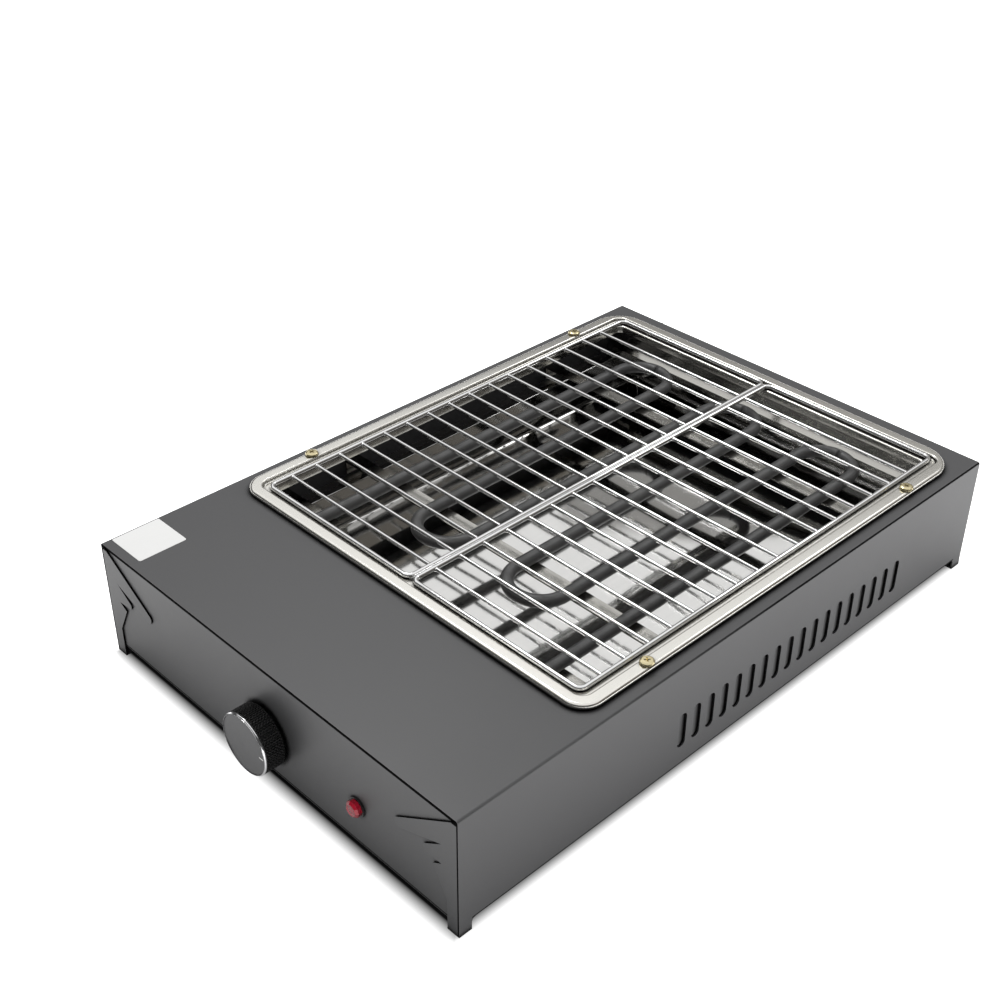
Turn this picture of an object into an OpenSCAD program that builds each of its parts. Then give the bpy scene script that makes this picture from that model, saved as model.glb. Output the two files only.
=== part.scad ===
// Countertop electric grill: a folded sheet-metal body with a stainless trim round the
// cooking well, two lift-off wire racks, a tubular heating element over a drip tray that
// slides out at the back, and one heat control with a lamp on the front.
// Units are millimetres. +Z is up, the front faces -Y, +X is right along the front.
// The origin is the centre of the footprint, on the worktop.

/* [Body] */
// Width of the body, left to right
body_w = 320; // [310:5:360]
// Depth of the body, front to back
body_d = 470; // [450:5:520]
// Height of the top sheet above the worktop
body_h = 83; // [82:1:92]
// Thickness of the folded body sheet
sheet = 1; // [0.8:0.1:1.2]
// Outside radius of the folds between the top and the sides
fold_r = 1.6; // [1.3:0.1:2.5]
// Height of the panels' lower edges above the worktop
foot_h = 8; // [7:0.5:10]
// Width of each corner leg
leg_w = 9; // [7:0.5:12]
// Radius where a leg runs into the panel's lower edge
leg_fillet = 3; // [1:0.5:4]
// Width of the turned-in lower edge of the side sheets
turn_in = 8; // [7:0.5:8]
// Width of the turned-in edges of the front and back panels
panel_turn = 12; // [10:0.5:16]
// Gap at the seams between the sheets
seam = 0.3; // [0.2:0.1:0.5]

/* [Corner flanges] */
// Reach of the upper finger from the body's side
finger_reach = 48; // [40:1:60]
// Reach of the lower finger from the body's side
finger_low_reach = 26; // [22:1:30]
// Width of the flange's foot strip
strip_w = 8.8; // [7:0.2:11]
// Width of the plain flanges at the back
rear_strip_w = 11; // [9:0.5:12]

/* [Side louvres] */
// Number of louvres on each side
louvre_count = 18; // [6:1:22]
// Spacing of the louvres
louvre_pitch = 12.4; // [10:0.2:16]
// Width of a louvre
louvre_w = 6.8; // [5:0.2:8]
// Height of a louvre
louvre_h = 25; // [16:1:32]
// Height of the louvres' lower ends
louvre_z = 21.5; // [16:0.5:26]
// Angle at which the vanes are bent inwards
vane_angle = 12; // [8:1:30]

/* [Trim] */
// Plain deck in front of the trim
deck_d = 97; // [90:1:115]
// Plain margin beside the trim
side_margin = 9; // [8:0.5:9]
// Plain margin behind the trim
rear_margin = 13; // [12:0.5:20]
// Height of the trim above the top sheet
trim_rise = 4; // [3:0.2:5]
// Thickness of the trim's sheet
trim_t = 0.8; // [0.6:0.1:1]
// Radius of the trim's two front corners
trim_front_r = 15; // [10:1:30]
// Radius of the trim's two back corners
trim_back_r = 23; // [10:1:30]
// Width of the trim's flat flange
flange_w = 8.5; // [8:0.1:9]
// Depth of the recess that holds the racks
recess_drop = 2.8; // [2.4:0.1:3.2]
// Radius of the recess's corners
recess_r = 7; // [5:0.5:9]
// Width of the shoulder that carries the racks
shoulder_w = 6.5; // [6:0.1:7]
// Height of the lip below the shoulder
lip_h = 5.3; // [4:0.1:6]
// Clearance between the lip and the cut in the top sheet
lip_gap = 0.7; // [0.4:0.1:1]
// Distance between the trim screws, front to back
trim_screw_span = 250; // [200:5:280]

/* [Racks] */
// Diameter of the rack's outer rod
rod_d = 3.2; // [2.8:0.1:3.6]
// Diameter of the cross bars
bar_d = 2.5; // [2:0.1:3]
// Bend radius of the rod's centre line
rod_bend = 5; // [4:0.5:7]
// Number of cross bars in each rack
bar_count = 16; // [8:1:16]
// Distance from the front rod to the first bar
bar_start = 17.8; // [12:0.2:22]
// Distance from the last bar to the back rod
bar_end = 26.4; // [20:0.2:40]
// Depth of the bars' centres below the rod's centre
bar_drop = 0.4; // [0:0.1:0.8]
// Play between a rack and the recess's side
rack_side_play = 4.3; // [3:0.1:4.6]
// Play between the racks and the recess's front edge
rack_front_play = 2.7; // [0.4:0.1:3]
// Play between the racks and the recess's back edge
rack_back_play = 0.4; // [0.4:0.1:3]
// Gap between the two racks
rack_gap = 0.3; // [0.3:0.1:1]

/* [Heating element] */
// Diameter of the element's tube
tube_d = 8.5; // [6.5:0.1:9]
// Number of straight runs
run_count = 6; // [4:2:6]
// Spacing of the runs
run_pitch = 40.8; // [34:0.2:44]
// Depth of the tube's centre below the body's top
element_drop = 11; // [10.5:0.5:13]
// Distance from the well's front edge to the front bends
bend_front_gap = 45; // [30:1:60]
// Distance from the well's back edge to the back bends
bend_back_gap = 17; // [12:1:30]
// Diameter of the threaded collar at each end
collar_d = 12; // [11:0.5:14]
// Thickness of the support strips
strip_t = 1.2; // [1:0.1:1.6]
// Width of the support strips
support_w = 12; // [8:0.5:16]

/* [Drip tray] */
// Depth of the tray's rim below the body's top
tray_drop = 26; // [23:0.5:28]
// Depth of the tray
tray_depth = 30.5; // [26:0.5:32]
// Thickness of the tray's sheet
tray_t = 0.8; // [0.6:0.1:1]
// Width of the rolled-out rim that slides on the rails
rim_w = 5; // [4:0.5:6]
// Overlap of the tray past the lip on each side
tray_overlap = 2; // [1:0.1:2.5]
// Clearance under and over the sliding rim
slide_gap = 0.3; // [0.2:0.05:0.5]
// Gap between the tray and the firewall
tray_front_gap = 7; // [4:0.5:12]
// Clearance between the tray and the opening in the back panel
tray_hole_gap = 1.5; // [1:0.1:2]
// Overlap of the tray's end plate past the opening
end_plate_lap = 2.2; // [1.5:0.1:2.5]
// Distance that the tray's pull stands out
pull_reach = 15; // [12:1:20]
// Width of the tray's pull
pull_w = 110; // [80:5:160]

/* [Control] */
// Height of the knob's and the lamp's centres
control_z = 35; // [32:0.5:44]
// Diameter of the knob
knob_d = 40; // [34:1:46]
// Distance from the corner flanges' faces to the knob's front
knob_reach = 15; // [14:0.5:20]
// Gap between the knob and the corner flanges' plane
knob_gap = 0.5; // [0.3:0.1:1]
// Diameter of the control shaft
shaft_d = 6; // [5:0.1:6.5]
// Radial clearance of the turning shaft in its bush
shaft_play = 0.05; // [0.02:0.01:0.08]
// Diameter of the threaded bush
bush_d = 10; // [9:0.5:11]
// Distance from the knob to the lamp
lamp_x = 80; // [50:1:110]
// Width of the lamp's lens
lens_d = 10.6; // [9:0.1:12]
// Height of the lamp's lens
lens_h = 4; // [3:0.1:6]

/* [Cord inlet] */
// Distance of the cord gland from the body's left side
gland_inset = 34; // [32:1:60]
// Diameter of the gland's bore
gland_bore = 7.4; // [6:0.1:8]
// Diameter of the gland's thread
gland_thread = 12; // [11:0.5:13]

/* [Label] */
// Width of the blank label
label_w = 31; // [20:1:40]
// Depth of the blank label
label_d = 33.5; // [20:0.5:40]
// Thickness of the blank label
label_t = 0.2; // [0.1:0.1:0.4]

/* [Hidden] */
$fn = 64;
eps = 0.01;

// Body planes
half_w = body_w / 2;
half_d = body_d / 2;
under_top = body_h - sheet;
inner_x = half_w - sheet;
panel_y = half_d - sheet;
panel_in_y = panel_y - sheet;
panel_top_z = under_top - seam;
floor_top_z = foot_h;
floor_z = foot_h - sheet;
vane_sink = 0.2;
vane_root = 0.3;
vane_short = 1.8;
vane_t = sheet - 2 * vane_sink;

// Trim, from the outer skirt in to the lip
trim_w = body_w - 2 * side_margin;
trim_y0 = deck_d - half_d;
trim_y1 = half_d - rear_margin;
trim_cy = (trim_y0 + trim_y1) / 2;
trim_d = trim_y1 - trim_y0;
flange_z = body_h + trim_rise;
recess_w = trim_w - 2 * flange_w;
recess_d = trim_d - 2 * flange_w;
shoulder_z = flange_z - recess_drop;
well_w = recess_w - 2 * shoulder_w;
well_d = recess_d - 2 * shoulder_w;
well_y0 = trim_cy - well_d / 2;
well_y1 = trim_cy + well_d / 2;
well_r = recess_r - 2;
lip_z = shoulder_z - lip_h;
cut_w = well_w + 2 * trim_t + 2 * lip_gap;
cut_d = well_d + 2 * trim_t + 2 * lip_gap;
trim_screw_x = (trim_w - flange_w) / 2;
trim_screw_d = 4;
trim_head_d = 8.8;
trim_head_h = 2.2;
trim_screw_len = 10;
screw_play = 0.1;

// Racks
rod_r = rod_d / 2;
rest_gap = 0.15;
rack_z = shoulder_z + rest_gap + rod_r;
rack_x0 = rack_gap / 2 + rod_r;
rack_x1 = recess_w / 2 - rack_side_play - rod_r;
rack_y0 = trim_cy - recess_d / 2 + rack_front_play + rod_r;
rack_y1 = trim_cy + recess_d / 2 - rack_back_play - rod_r;
bar_pitch = (rack_y1 - rack_y0 - bar_start - bar_end) / (bar_count - 1);

// Well walls
wall_t = 0.8;
shield_x = trim_w / 2 - 1;
shield_top_z = under_top - seam;
shield_turn = 10;
firewall_y = trim_y0 - 1;
firewall_in_y = firewall_y - sheet;
firewall_turn = 12;
notch_w = 10;
notch_drop = 24;
notch_z0 = body_h - notch_drop;

// Drip tray and rails
tray_rim_z = body_h - tray_drop;
tray_x = well_w / 2 + tray_overlap;
tray_y0 = firewall_y + tray_front_gap;
close_gap = 0.2;
tray_y1 = panel_y + close_gap;
tray_z0 = tray_rim_z - tray_depth;
rim_x = tray_x + rim_w;
tray_r = 10;
rail_top_z = tray_rim_z - tray_t - slide_gap;
rail_drop = 12;
rail_edge_x = tray_x + 1.5;
hole_x = rim_x + tray_hole_gap;
hole_z0 = tray_z0 - tray_hole_gap;
hole_z1 = tray_rim_z + tray_hole_gap;
end_x = hole_x + end_plate_lap;
end_z0 = hole_z0 - end_plate_lap;
end_z1 = hole_z1 + end_plate_lap;
pull_t = 1.2;
pull_z = (tray_z0 + tray_rim_z) / 2 + 8;
pull_lip = 9;
pull_root = 6;

// Rear shield, a folded wall between the well and the back panel
rear_y = well_y1 + 7;
rear_fold_z = tray_rim_z + 9;
rear_toe_z = tray_rim_z + 1.5;
rear_toe_y = well_y1 + 2;
rear_step = 4;
rear_turn_y = panel_in_y - panel_turn - 1;

// Heating element
tube_z = body_h - element_drop;
tube_r = tube_d / 2;
bend_r = run_pitch / 2;
run_y0 = well_y0 + bend_front_gap + bend_r;
run_y1 = well_y1 - bend_back_gap - bend_r;
end_run_x = (run_count - 1) * run_pitch / 2;
collar_r = collar_d / 2;
collar_flange_r = collar_r + 3;
collar_flange_t = 3;
nut_t = 5;
nut_step = 5;
collar_end = 3;
collar_y0 = firewall_in_y - nut_t - collar_end;
tube_tail = 10;
tube_end_y = collar_y0 - tube_tail;
insulator_r = 3.4;
insulator_l = 6;
pin_r = 1.8;
pin_l = 10;
support_z = tube_z - tube_r;
support_front = 10;
support_back = 24;
support_ys = [run_y0 + support_front, run_y1 - support_back];
support_tab = 10;
bracket_back = 36;
bracket_y = (well_y0 + run_y0 - bracket_back) / 2;
bracket_lap = 3;

// Control and lamp
knob_r = knob_d / 2;
knob_front_y = -half_d - knob_reach;
knob_back_y = -half_d - knob_gap;
ring_t = 1.6;
ring_w = 1.3;
ring_chamfer = 0.8;
face_t = 1.2;
pointer_l = 4;
pointer_w = 0.8;
pointer_cut = 0.3;
body_front_y = knob_front_y + ring_t;
hub_r = 6;
knob_wall = 3;
shaft_r = shaft_d / 2;
shaft_flat = shaft_r - 1;
shaft_tip_y = body_front_y + 2;
shaft_tail_y = -panel_in_y + 7;
bush_r = bush_d / 2;
bush_front_y = -panel_y - 4;
bush_nut_af = bush_d + 4;
bush_nut_t = 2.5;
regulator_w = 40;
regulator_h = 38;
regulator_l = 30;
regulator_y1 = -panel_in_y + regulator_l;
blade_x = 12;
blade_rise = 8;
blade_z = control_z + blade_rise;
blade_l = 9;
blade_w = 6;
blade_t = 0.8;
lamp_r = lens_d / 2 - 0.7;
lamp_flange_r = lens_d / 2 + 0.8;
lamp_tail = 20;
lamp_tail_y = -panel_in_y + lamp_tail;
lamp_nut_t = 3;

// Electrical parts in the front space
lead_r = 1.4;
lead_knee = 1.08;
lead_turn = 8;
lamp_lead_pitch = 6;
lamp_lead_run = 5;
lamp_lead_gap = 9;
cutout_x = 34;
cutout_z = tray_rim_z - 4;
cutout_r = 8;
cutout_l = 7;
bracket_t = 0.8;
bracket_w = 32;
bracket_h = 12;
tab_pitch = 10;
tab_l = 8;
tab_w = 4.8;
tab_t = 0.8;
block_inset = 86;
block_x = -half_w + block_inset;
block_setback = 50;
block_y = -half_d + block_setback;
block_w = 42;
block_d = 18;
block_h = 15;
block_ways = 4;
block_pitch = 10;
way_r = 2;
way_depth = 7;
way_wall = 3;
clamp_r = 1.9;
clamp_l = 5;
earth_gap = 36;
earth_x = block_x - earth_gap;
earth_r = 2;
earth_h = 12;
washer_r = 4;
washer_t = 1;
earth_nut_t = 3;

// Cord gland
gland_x = half_w - gland_inset;
gland_z = (end_z1 + under_top) / 2;
gland_r = gland_thread / 2;
gland_flange_r = gland_r + 2.4;
gland_flange_t = 3;
gland_nose = 9;
gland_inner = 7;
gland_nut_t = 4;
channel_x = (shield_x + wall_t + inner_x) / 2;
channel_y = panel_in_y - gland_inner - 2.2;
supply_pitch = 3.6;
splice_r = 1.7;
splice_l = 11;
splice_x = -gland_x - gland_r - 4;

// Fixings
base_screw_r = 1.75;
base_head_r = 3.4;
base_head_h = 2;
base_screw_len = 7;
base_screw_x = inner_x - turn_in / 2;
base_screw_inset = 55;
base_screw_span = body_d - 2 * base_screw_inset;
base_screw_rows = 4;
panel_screw_x = 80;
panel_screw_y = panel_in_y - panel_turn / 2;
back_screw_x = half_w - rear_strip_w / 2;
back_screw_low = 8;
back_screw_high = 10;
back_screw_z0 = floor_top_z + back_screw_low;
back_screw_z1 = under_top - back_screw_high;
back_screw_zs = [back_screw_z0, (back_screw_z0 + back_screw_z1) / 2, back_screw_z1];
label_inset = 2;
label_setback = 6.5;

// Front flange outline, measured in from the body's side edge and up from the worktop
tip_r = 3.3;
low_tip_r = 2.7;
finger_drop = 23;
finger_dip = 9;
low_dip = 11;
root_dip = 3.2;
knee_dip = 4;
ankle_dip = 19;
root_in = 12;
knee_in = 19;
finger_root = [root_in, under_top - finger_drop];
finger_tip = [finger_reach - tip_r, finger_root[1] - finger_dip];
low_tip = [finger_low_reach - low_tip_r, finger_root[1] - low_dip];
low_root = [root_in + 0.5, low_tip[1] - root_dip];
knee = [knee_in, low_root[1] - knee_dip];
ankle = [strip_w, knee[1] - ankle_dip];

// ---- shared shapes ----

module rounded(w, d, r) {
    square([w - 2 * r, d], center = true);
    square([w, d - 2 * r], center = true);
    for (sx = [-1, 1], sy = [-1, 1])
        translate([sx * (w / 2 - r), sy * (d / 2 - r)]) circle(r);
}

// The trim's own outline, drawn in by e, with its front corners tighter than its back ones
module trim_outline(e) {
    w = trim_w - 2 * e;
    d = trim_d - 2 * e;
    front = trim_front_r - e;
    back = trim_back_r - e;
    translate([-w / 2, -d / 2 + front]) square([w, d - front - back]);
    translate([-w / 2 + front, -d / 2]) square([w - 2 * front, d / 2]);
    translate([-w / 2 + back, 0]) square([w - 2 * back, d / 2]);
    for (s = [-1, 1]) {
        translate([s * (w / 2 - front), -d / 2 + front]) circle(front);
        translate([s * (w / 2 - back), d / 2 - back]) circle(back);
    }
}

// A flat slab of the trim's outline
module trim_slab(e, z0, z1) {
    translate([0, trim_cy, z0]) linear_extrude(z1 - z0) trim_outline(e);
}

// A flat slab centred on the trim, with rounded corners
module slab(w, d, r, z0, z1) {
    translate([0, trim_cy, z0]) linear_extrude(z1 - z0) rounded(w, d, r);
}

// A block given by its lowest and highest corners
module block(a, b) {
    translate(a) cube(b - a);
}

// A cylinder along Y, from y0 to y1
module rod_y(x, z, r, y0, y1) {
    translate([x, y1, z]) rotate([90, 0, 0]) cylinder(r = r, h = y1 - y0);
}

// A cylinder along X, from x0 to x1
module rod_x(y, z, r, x0, x1) {
    translate([x0, y, z]) rotate([0, 90, 0]) cylinder(r = r, h = x1 - x0);
}

// A quarter bend of a rod, lying flat, centred on c and opening from angle a
module bend(c, r, rod, a, sweep = 90) {
    translate(c) rotate([0, 0, a]) rotate_extrude(angle = sweep) translate([r, 0]) circle(rod);
}

// A lead that runs square through its points, with rounded knees
module lead(points) {
    for (i = [1 : len(points) - 1]) {
        a = points[i - 1];
        b = points[i];
        lo = [min(a.x, b.x), min(a.y, b.y), min(a.z, b.z)];
        hi = [max(a.x, b.x), max(a.y, b.y), max(a.z, b.z)];
        span = hi - lo;
        if (span.x > 0) rod_x(a.y, a.z, lead_r, lo.x, hi.x);
        if (span.y > 0) rod_y(a.x, a.z, lead_r, lo.y, hi.y);
        if (span.z > 0) translate(lo) cylinder(r = lead_r, h = span.z);
    }
    for (i = [1 : len(points) - 2]) translate(points[i]) sphere(lead_r * lead_knee);
}

// A hexagonal nut along Y with a round bore
module hex_nut_y(x, z, af, bore, y0, y1) {
    difference() {
        translate([x, y1, z]) rotate([90, 0, 0]) cylinder(r = af / sqrt(3), h = y1 - y0, $fn = 6);
        rod_y(x, z, bore, y0 - 1, y1 + 1);
    }
}

module both_sides() {
    children();
    mirror([1, 0, 0]) children();
}

// ---- body ----

module shell_profile(w, h, r) {
    translate([-w / 2, -1]) square([w, h - r + 1]);
    translate([-w / 2 + r, 0]) square([w - 2 * r, h]);
    for (s = [-1, 1]) translate([s * (w / 2 - r), h - r]) circle(r);
}

module side_gap_outline() {
    gap_d = body_d - 2 * leg_w;
    translate([-gap_d / 2, -2]) square([gap_d, foot_h + 2 - leg_fillet]);
    translate([-gap_d / 2 + leg_fillet, 0]) square([gap_d - 2 * leg_fillet, foot_h]);
    for (s = [-1, 1]) translate([s * (gap_d / 2 - leg_fillet), foot_h - leg_fillet]) circle(leg_fillet);
}

// A stadium of the louvre's width, lying along X from the middle of its lower end
module louvre_slot(h) {
    for (s = [0, 1]) translate([s * (h - louvre_w), 0]) circle(louvre_w / 2);
    translate([0, -louvre_w / 2]) square([h - louvre_w, louvre_w]);
}

function louvre_y(i) = trim_cy + (i - (louvre_count - 1) / 2) * louvre_pitch;

// A stadium of height h stood up in the YZ plane, its thickness running in from x = 0
module stand_louvre(h, t) {
    translate([0, 0, louvre_z + (louvre_h - h) / 2 + louvre_w / 2]) rotate([0, -90, 0])
        linear_extrude(t) louvre_slot(h);
}

module louvre_cuts() {
    for (i = [0 : louvre_count - 1])
        translate([half_w + 1, louvre_y(i), 0]) stand_louvre(louvre_h, sheet + 2);
}

// Each vane hangs on its slot's front edge and is bent into the body. Its root is sunk in the sheet.
module vanes() {
    for (i = [0 : louvre_count - 1])
        translate([half_w - vane_sink, louvre_y(i) - louvre_w / 2, 0]) rotate([0, 0, vane_angle])
            translate([0, louvre_w / 2 - vane_root, 0]) stand_louvre(louvre_h - 2 * vane_short, vane_t);
}

module front_flange() {
    translate([-half_w, -half_d + sheet, 0]) rotate([90, 0, 0]) linear_extrude(sheet) {
        polygon([
            [0, 0], [strip_w, 0], ankle, knee, low_root, [low_tip.x - 1, low_tip.y - low_tip_r],
            [low_tip.x + 1.5, low_tip.y + low_tip_r - 0.5], finger_root,
            [finger_tip.x - 1, finger_tip.y - tip_r + 0.2],
            [finger_tip.x + 1.6, finger_tip.y + tip_r - 0.5],
            [sheet, under_top + eps], [0, body_h - fold_r]
        ]);
        translate(finger_tip) circle(tip_r);
        translate(low_tip) circle(low_tip_r);
    }
}

module rear_flange() {
    block([-half_w, panel_y, foot_h], [-half_w + rear_strip_w, half_d, under_top + eps]);
    block([-half_w, panel_y, 0], [-half_w + strip_w, half_d, foot_h]);
}

module foot_toes() {
    for (sy = [-1, 1]) {
        y0 = sy > 0 ? half_d - leg_w : -half_d;
        block([-half_w, y0, 0], [-half_w + leg_w, y0 + leg_w, sheet]);
    }
}

module half_trimmings() {
    front_flange();
    rear_flange();
    foot_toes();
    block([-inner_x - eps, -panel_in_y + panel_turn + 1, foot_h],
        [-inner_x + turn_in, panel_in_y - panel_turn - 1, foot_h + sheet]);
}

module body_shell() {
    color("#5a5a5c") difference() {
        union() {
            difference() {
                translate([0, half_d, 0]) rotate([90, 0, 0]) linear_extrude(body_d) difference() {
                    shell_profile(body_w, body_h, fold_r);
                    shell_profile(body_w - 2 * sheet, body_h - sheet, fold_r - sheet);
                }
                translate([0, 0, -2]) cube([body_w + 2, body_d + 2, 4], center = true);
                translate([-half_w - 1, 0, 0]) rotate([90, 0, 90])
                    linear_extrude(body_w + 2) side_gap_outline();
                both_sides() louvre_cuts();
            }
            both_sides() half_trimmings();
            both_sides() vanes();
        }
        slab(cut_w, cut_d, well_r + trim_t, under_top - 1, body_h + 1);
        for (sx = [-1, 1], sy = [-1, 1])
            translate([sx * trim_screw_x, trim_cy + sy * trim_screw_span / 2, under_top - 1])
                cylinder(r = trim_screw_d / 2 + screw_play, h = sheet + 2);
        both_sides() {
            for (y = base_rows()) translate([base_screw_x, y, foot_h - 1])
                cylinder(r = base_screw_r + screw_play, h = sheet + 2);
            for (z = back_screw_zs)
                rod_y(back_screw_x, z, base_screw_r + screw_play, panel_y - 1, half_d + 1);
        }
    }
}

function base_rows() = [for (i = [0 : base_screw_rows - 1])
    (i / (base_screw_rows - 1) - 0.5) * base_screw_span];

// A front or back panel facing -Y, with its top and bottom edges turned in
module plain_panel() {
    x = inner_x - seam;
    block([-x, -panel_y, floor_top_z], [x, -panel_in_y, panel_top_z]);
    block([-x, -panel_in_y - eps, floor_top_z], [x, -panel_in_y + panel_turn, floor_top_z + sheet]);
    block([-x, -panel_in_y - eps, panel_top_z - sheet], [x, -panel_in_y + panel_turn, panel_top_z]);
}

module panel_floor_holes() {
    for (s = [-1, 1]) translate([s * panel_screw_x, -panel_screw_y, floor_z - 1])
        cylinder(r = base_screw_r + screw_play, h = 2 * sheet + 2);
}

module front_panel() {
    color("#59595b") difference() {
        plain_panel();
        panel_floor_holes();
        rod_y(0, control_z, bush_r + screw_play, -panel_y - 1, -panel_in_y + 1);
        rod_y(lamp_x, control_z, lamp_r + screw_play, -panel_y - 1, -panel_in_y + 1);
    }
}

module back_panel() {
    color("#59595b") difference() {
        mirror([0, 1, 0]) plain_panel();
        mirror([0, 1, 0]) panel_floor_holes();
        block([-hole_x, panel_in_y - 1, hole_z0], [hole_x, panel_y + 1, hole_z1]);
        rod_y(-gland_x, gland_z, gland_r + screw_play, panel_in_y - 1, panel_y + 1);
        both_sides() for (z = back_screw_zs)
            rod_y(back_screw_x, z, base_screw_r + screw_play, panel_in_y - 1, panel_y + 1);
    }
}

module base_plate() {
    color("#4c4c4e") difference() {
        block([-inner_x + seam, -panel_y + seam, floor_z], [inner_x - seam, panel_y - seam, floor_top_z]);
        both_sides() for (y = base_rows()) translate([base_screw_x, y, floor_z - 1])
            cylinder(r = base_screw_r + screw_play, h = sheet + 2);
        panel_floor_holes();
        mirror([0, 1, 0]) panel_floor_holes();
    }
}

// A pan-head screw pointing down, its head seated at z
module pan_screw(p, r, head_r, head_h, len) {
    translate(p) {
        translate([0, 0, -len]) cylinder(r = r, h = len + eps);
        difference() {
            union() {
                cylinder(r = head_r, h = head_h * 0.55);
                translate([0, 0, head_h * 0.55 - eps])
                    cylinder(r1 = head_r, r2 = head_r * 0.72, h = head_h * 0.45);
            }
            for (a = [0, 90]) rotate([0, 0, a]) translate([-head_r * 0.5, -head_r * 0.13, head_h * 0.45])
                cube([head_r, head_r * 0.26, head_h]);
        }
    }
}

module base_screws() {
    color("#8c8c8c") {
        both_sides() for (y = base_rows())
            translate([base_screw_x, y, floor_z]) rotate([180, 0, 0])
                pan_screw([0, 0, 0], base_screw_r, base_head_r, base_head_h, base_screw_len);
        for (sx = [-1, 1], sy = [-1, 1])
            translate([sx * panel_screw_x, sy * panel_screw_y, floor_z]) rotate([180, 0, 0])
                pan_screw([0, 0, 0], base_screw_r, base_head_r, base_head_h, base_screw_len);
    }
}

module back_screws() {
    color("#8c8c8c") both_sides() for (z = back_screw_zs)
        translate([back_screw_x, half_d, z]) rotate([-90, 0, 0])
            pan_screw([0, 0, 0], base_screw_r, base_head_r, base_head_h, base_screw_len);
}

module blank_label() {
    x0 = -half_w + label_inset;
    y0 = -half_d + label_setback;
    color("#f2f2f0") block([x0, y0, body_h], [x0 + label_w, y0 + label_d, body_h + label_t]);
}

// ---- trim ----

module trim_frame() {
    color("#d9d6cf") difference() {
        union() {
            trim_slab(0, body_h, flange_z);
            slab(well_w + 2 * trim_t, well_d + 2 * trim_t, well_r + trim_t, lip_z, body_h + eps);
        }
        difference() {
            trim_slab(trim_t, body_h - eps, flange_z - trim_t);
            slab(recess_w + 2 * trim_t, recess_d + 2 * trim_t, recess_r + trim_t,
                shoulder_z - trim_t, flange_z);
            slab(well_w + 2 * trim_t, well_d + 2 * trim_t, well_r + trim_t, lip_z, flange_z);
        }
        slab(recess_w, recess_d, recess_r, shoulder_z, flange_z + 1);
        slab(well_w, well_d, well_r, lip_z - 1, flange_z + 1);
        for (sx = [-1, 1], sy = [-1, 1])
            translate([sx * trim_screw_x, trim_cy + sy * trim_screw_span / 2, body_h])
                cylinder(r = trim_screw_d / 2 + screw_play, h = trim_rise + 1);
    }
}

module trim_screws() {
    color("#c9a951") for (sx = [-1, 1], sy = [-1, 1])
        pan_screw([sx * trim_screw_x, trim_cy + sy * trim_screw_span / 2, flange_z],
            trim_screw_d / 2, trim_head_d / 2, trim_head_h, trim_screw_len);
}

// ---- racks ----

module half_rack() {
    x0 = rack_x0;
    x1 = rack_x1;
    y0 = rack_y0;
    y1 = rack_y1;
    b = rod_bend;
    for (y = [y0, y1]) rod_x(y, rack_z, rod_r, x0 + b, x1 - b);
    for (x = [x0, x1]) rod_y(x, rack_z, rod_r, y0 + b, y1 - b);
    bend([x0 + b, y0 + b, rack_z], b, rod_r, 180);
    bend([x1 - b, y0 + b, rack_z], b, rod_r, 270);
    bend([x1 - b, y1 - b, rack_z], b, rod_r, 0);
    bend([x0 + b, y1 - b, rack_z], b, rod_r, 90);
    for (i = [0 : bar_count - 1])
        rod_x(y0 + bar_start + i * bar_pitch, rack_z - bar_drop, bar_d / 2, x0, x1);
}

module rack_right() {
    color("#cfcfcf") half_rack();
}

module rack_left() {
    color("#cfcfcf") mirror([1, 0, 0]) half_rack();
}

// ---- well ----

module firewall() {
    x = shield_x + wall_t;
    turn_y = firewall_in_y - firewall_turn;
    color("#b9b9b7") difference() {
        union() {
            block([-x, firewall_in_y, floor_top_z], [x, firewall_y, panel_top_z]);
            block([-x, turn_y, floor_top_z], [x, firewall_in_y + eps, floor_top_z + sheet]);
            block([-x, turn_y, panel_top_z - sheet], [x, firewall_in_y + eps, panel_top_z]);
        }
        for (s = [-1, 1])
            rod_y(s * end_run_x, tube_z, collar_r + screw_play, firewall_in_y - 1, firewall_y + 1);
    }
}

module right_shield_solid() {
    difference() {
        union() {
            block([shield_x, firewall_y, floor_top_z],
                [shield_x + wall_t, panel_in_y - seam, shield_top_z]);
            block([shield_x - shield_turn, firewall_y, floor_top_z],
                [shield_x + eps, panel_in_y - panel_turn - 1, floor_top_z + wall_t]);
        }
        block([shield_x - 1, panel_in_y - panel_turn, panel_top_z - sheet - seam],
            [shield_x + wall_t + 1, panel_in_y, shield_top_z + 1]);
        block([shield_x - 1, panel_in_y - panel_turn, floor_top_z - 1],
            [shield_x + wall_t + 1, panel_in_y, floor_top_z + sheet + seam]);
        block([shield_x - 1, channel_y - notch_w / 2, notch_z0],
            [shield_x + wall_t + 1, channel_y + notch_w / 2, shield_top_z + 1]);
    }
}

module right_side_shield() {
    color("#2b2b2c") right_shield_solid();
}

module left_side_shield() {
    color("#2b2b2c") mirror([1, 0, 0]) right_shield_solid();
}

module rear_shield() {
    t = wall_t;
    x = shield_x - seam;
    color("#c8c6c0") translate([-x, 0, 0]) rotate([90, 0, 90]) linear_extrude(2 * x) polygon([
        [rear_y, panel_top_z], [rear_y, rear_fold_z],
        [rear_toe_y, rear_fold_z - rear_step], [rear_toe_y, rear_toe_z],
        [rear_toe_y + t, rear_toe_z], [rear_toe_y + t, rear_fold_z - rear_step - t / 2],
        [rear_y + t, rear_fold_z - t / 2], [rear_y + t, panel_top_z - t],
        [rear_turn_y, panel_top_z - t], [rear_turn_y, panel_top_z]
    ]);
}

module right_rail_solid() {
    y1 = panel_in_y - seam;
    block([rail_edge_x, firewall_y, rail_top_z - wall_t], [shield_x, y1, rail_top_z]);
    block([shield_x - wall_t, firewall_y, rail_top_z - rail_drop], [shield_x, y1, rail_top_z]);
}

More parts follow.
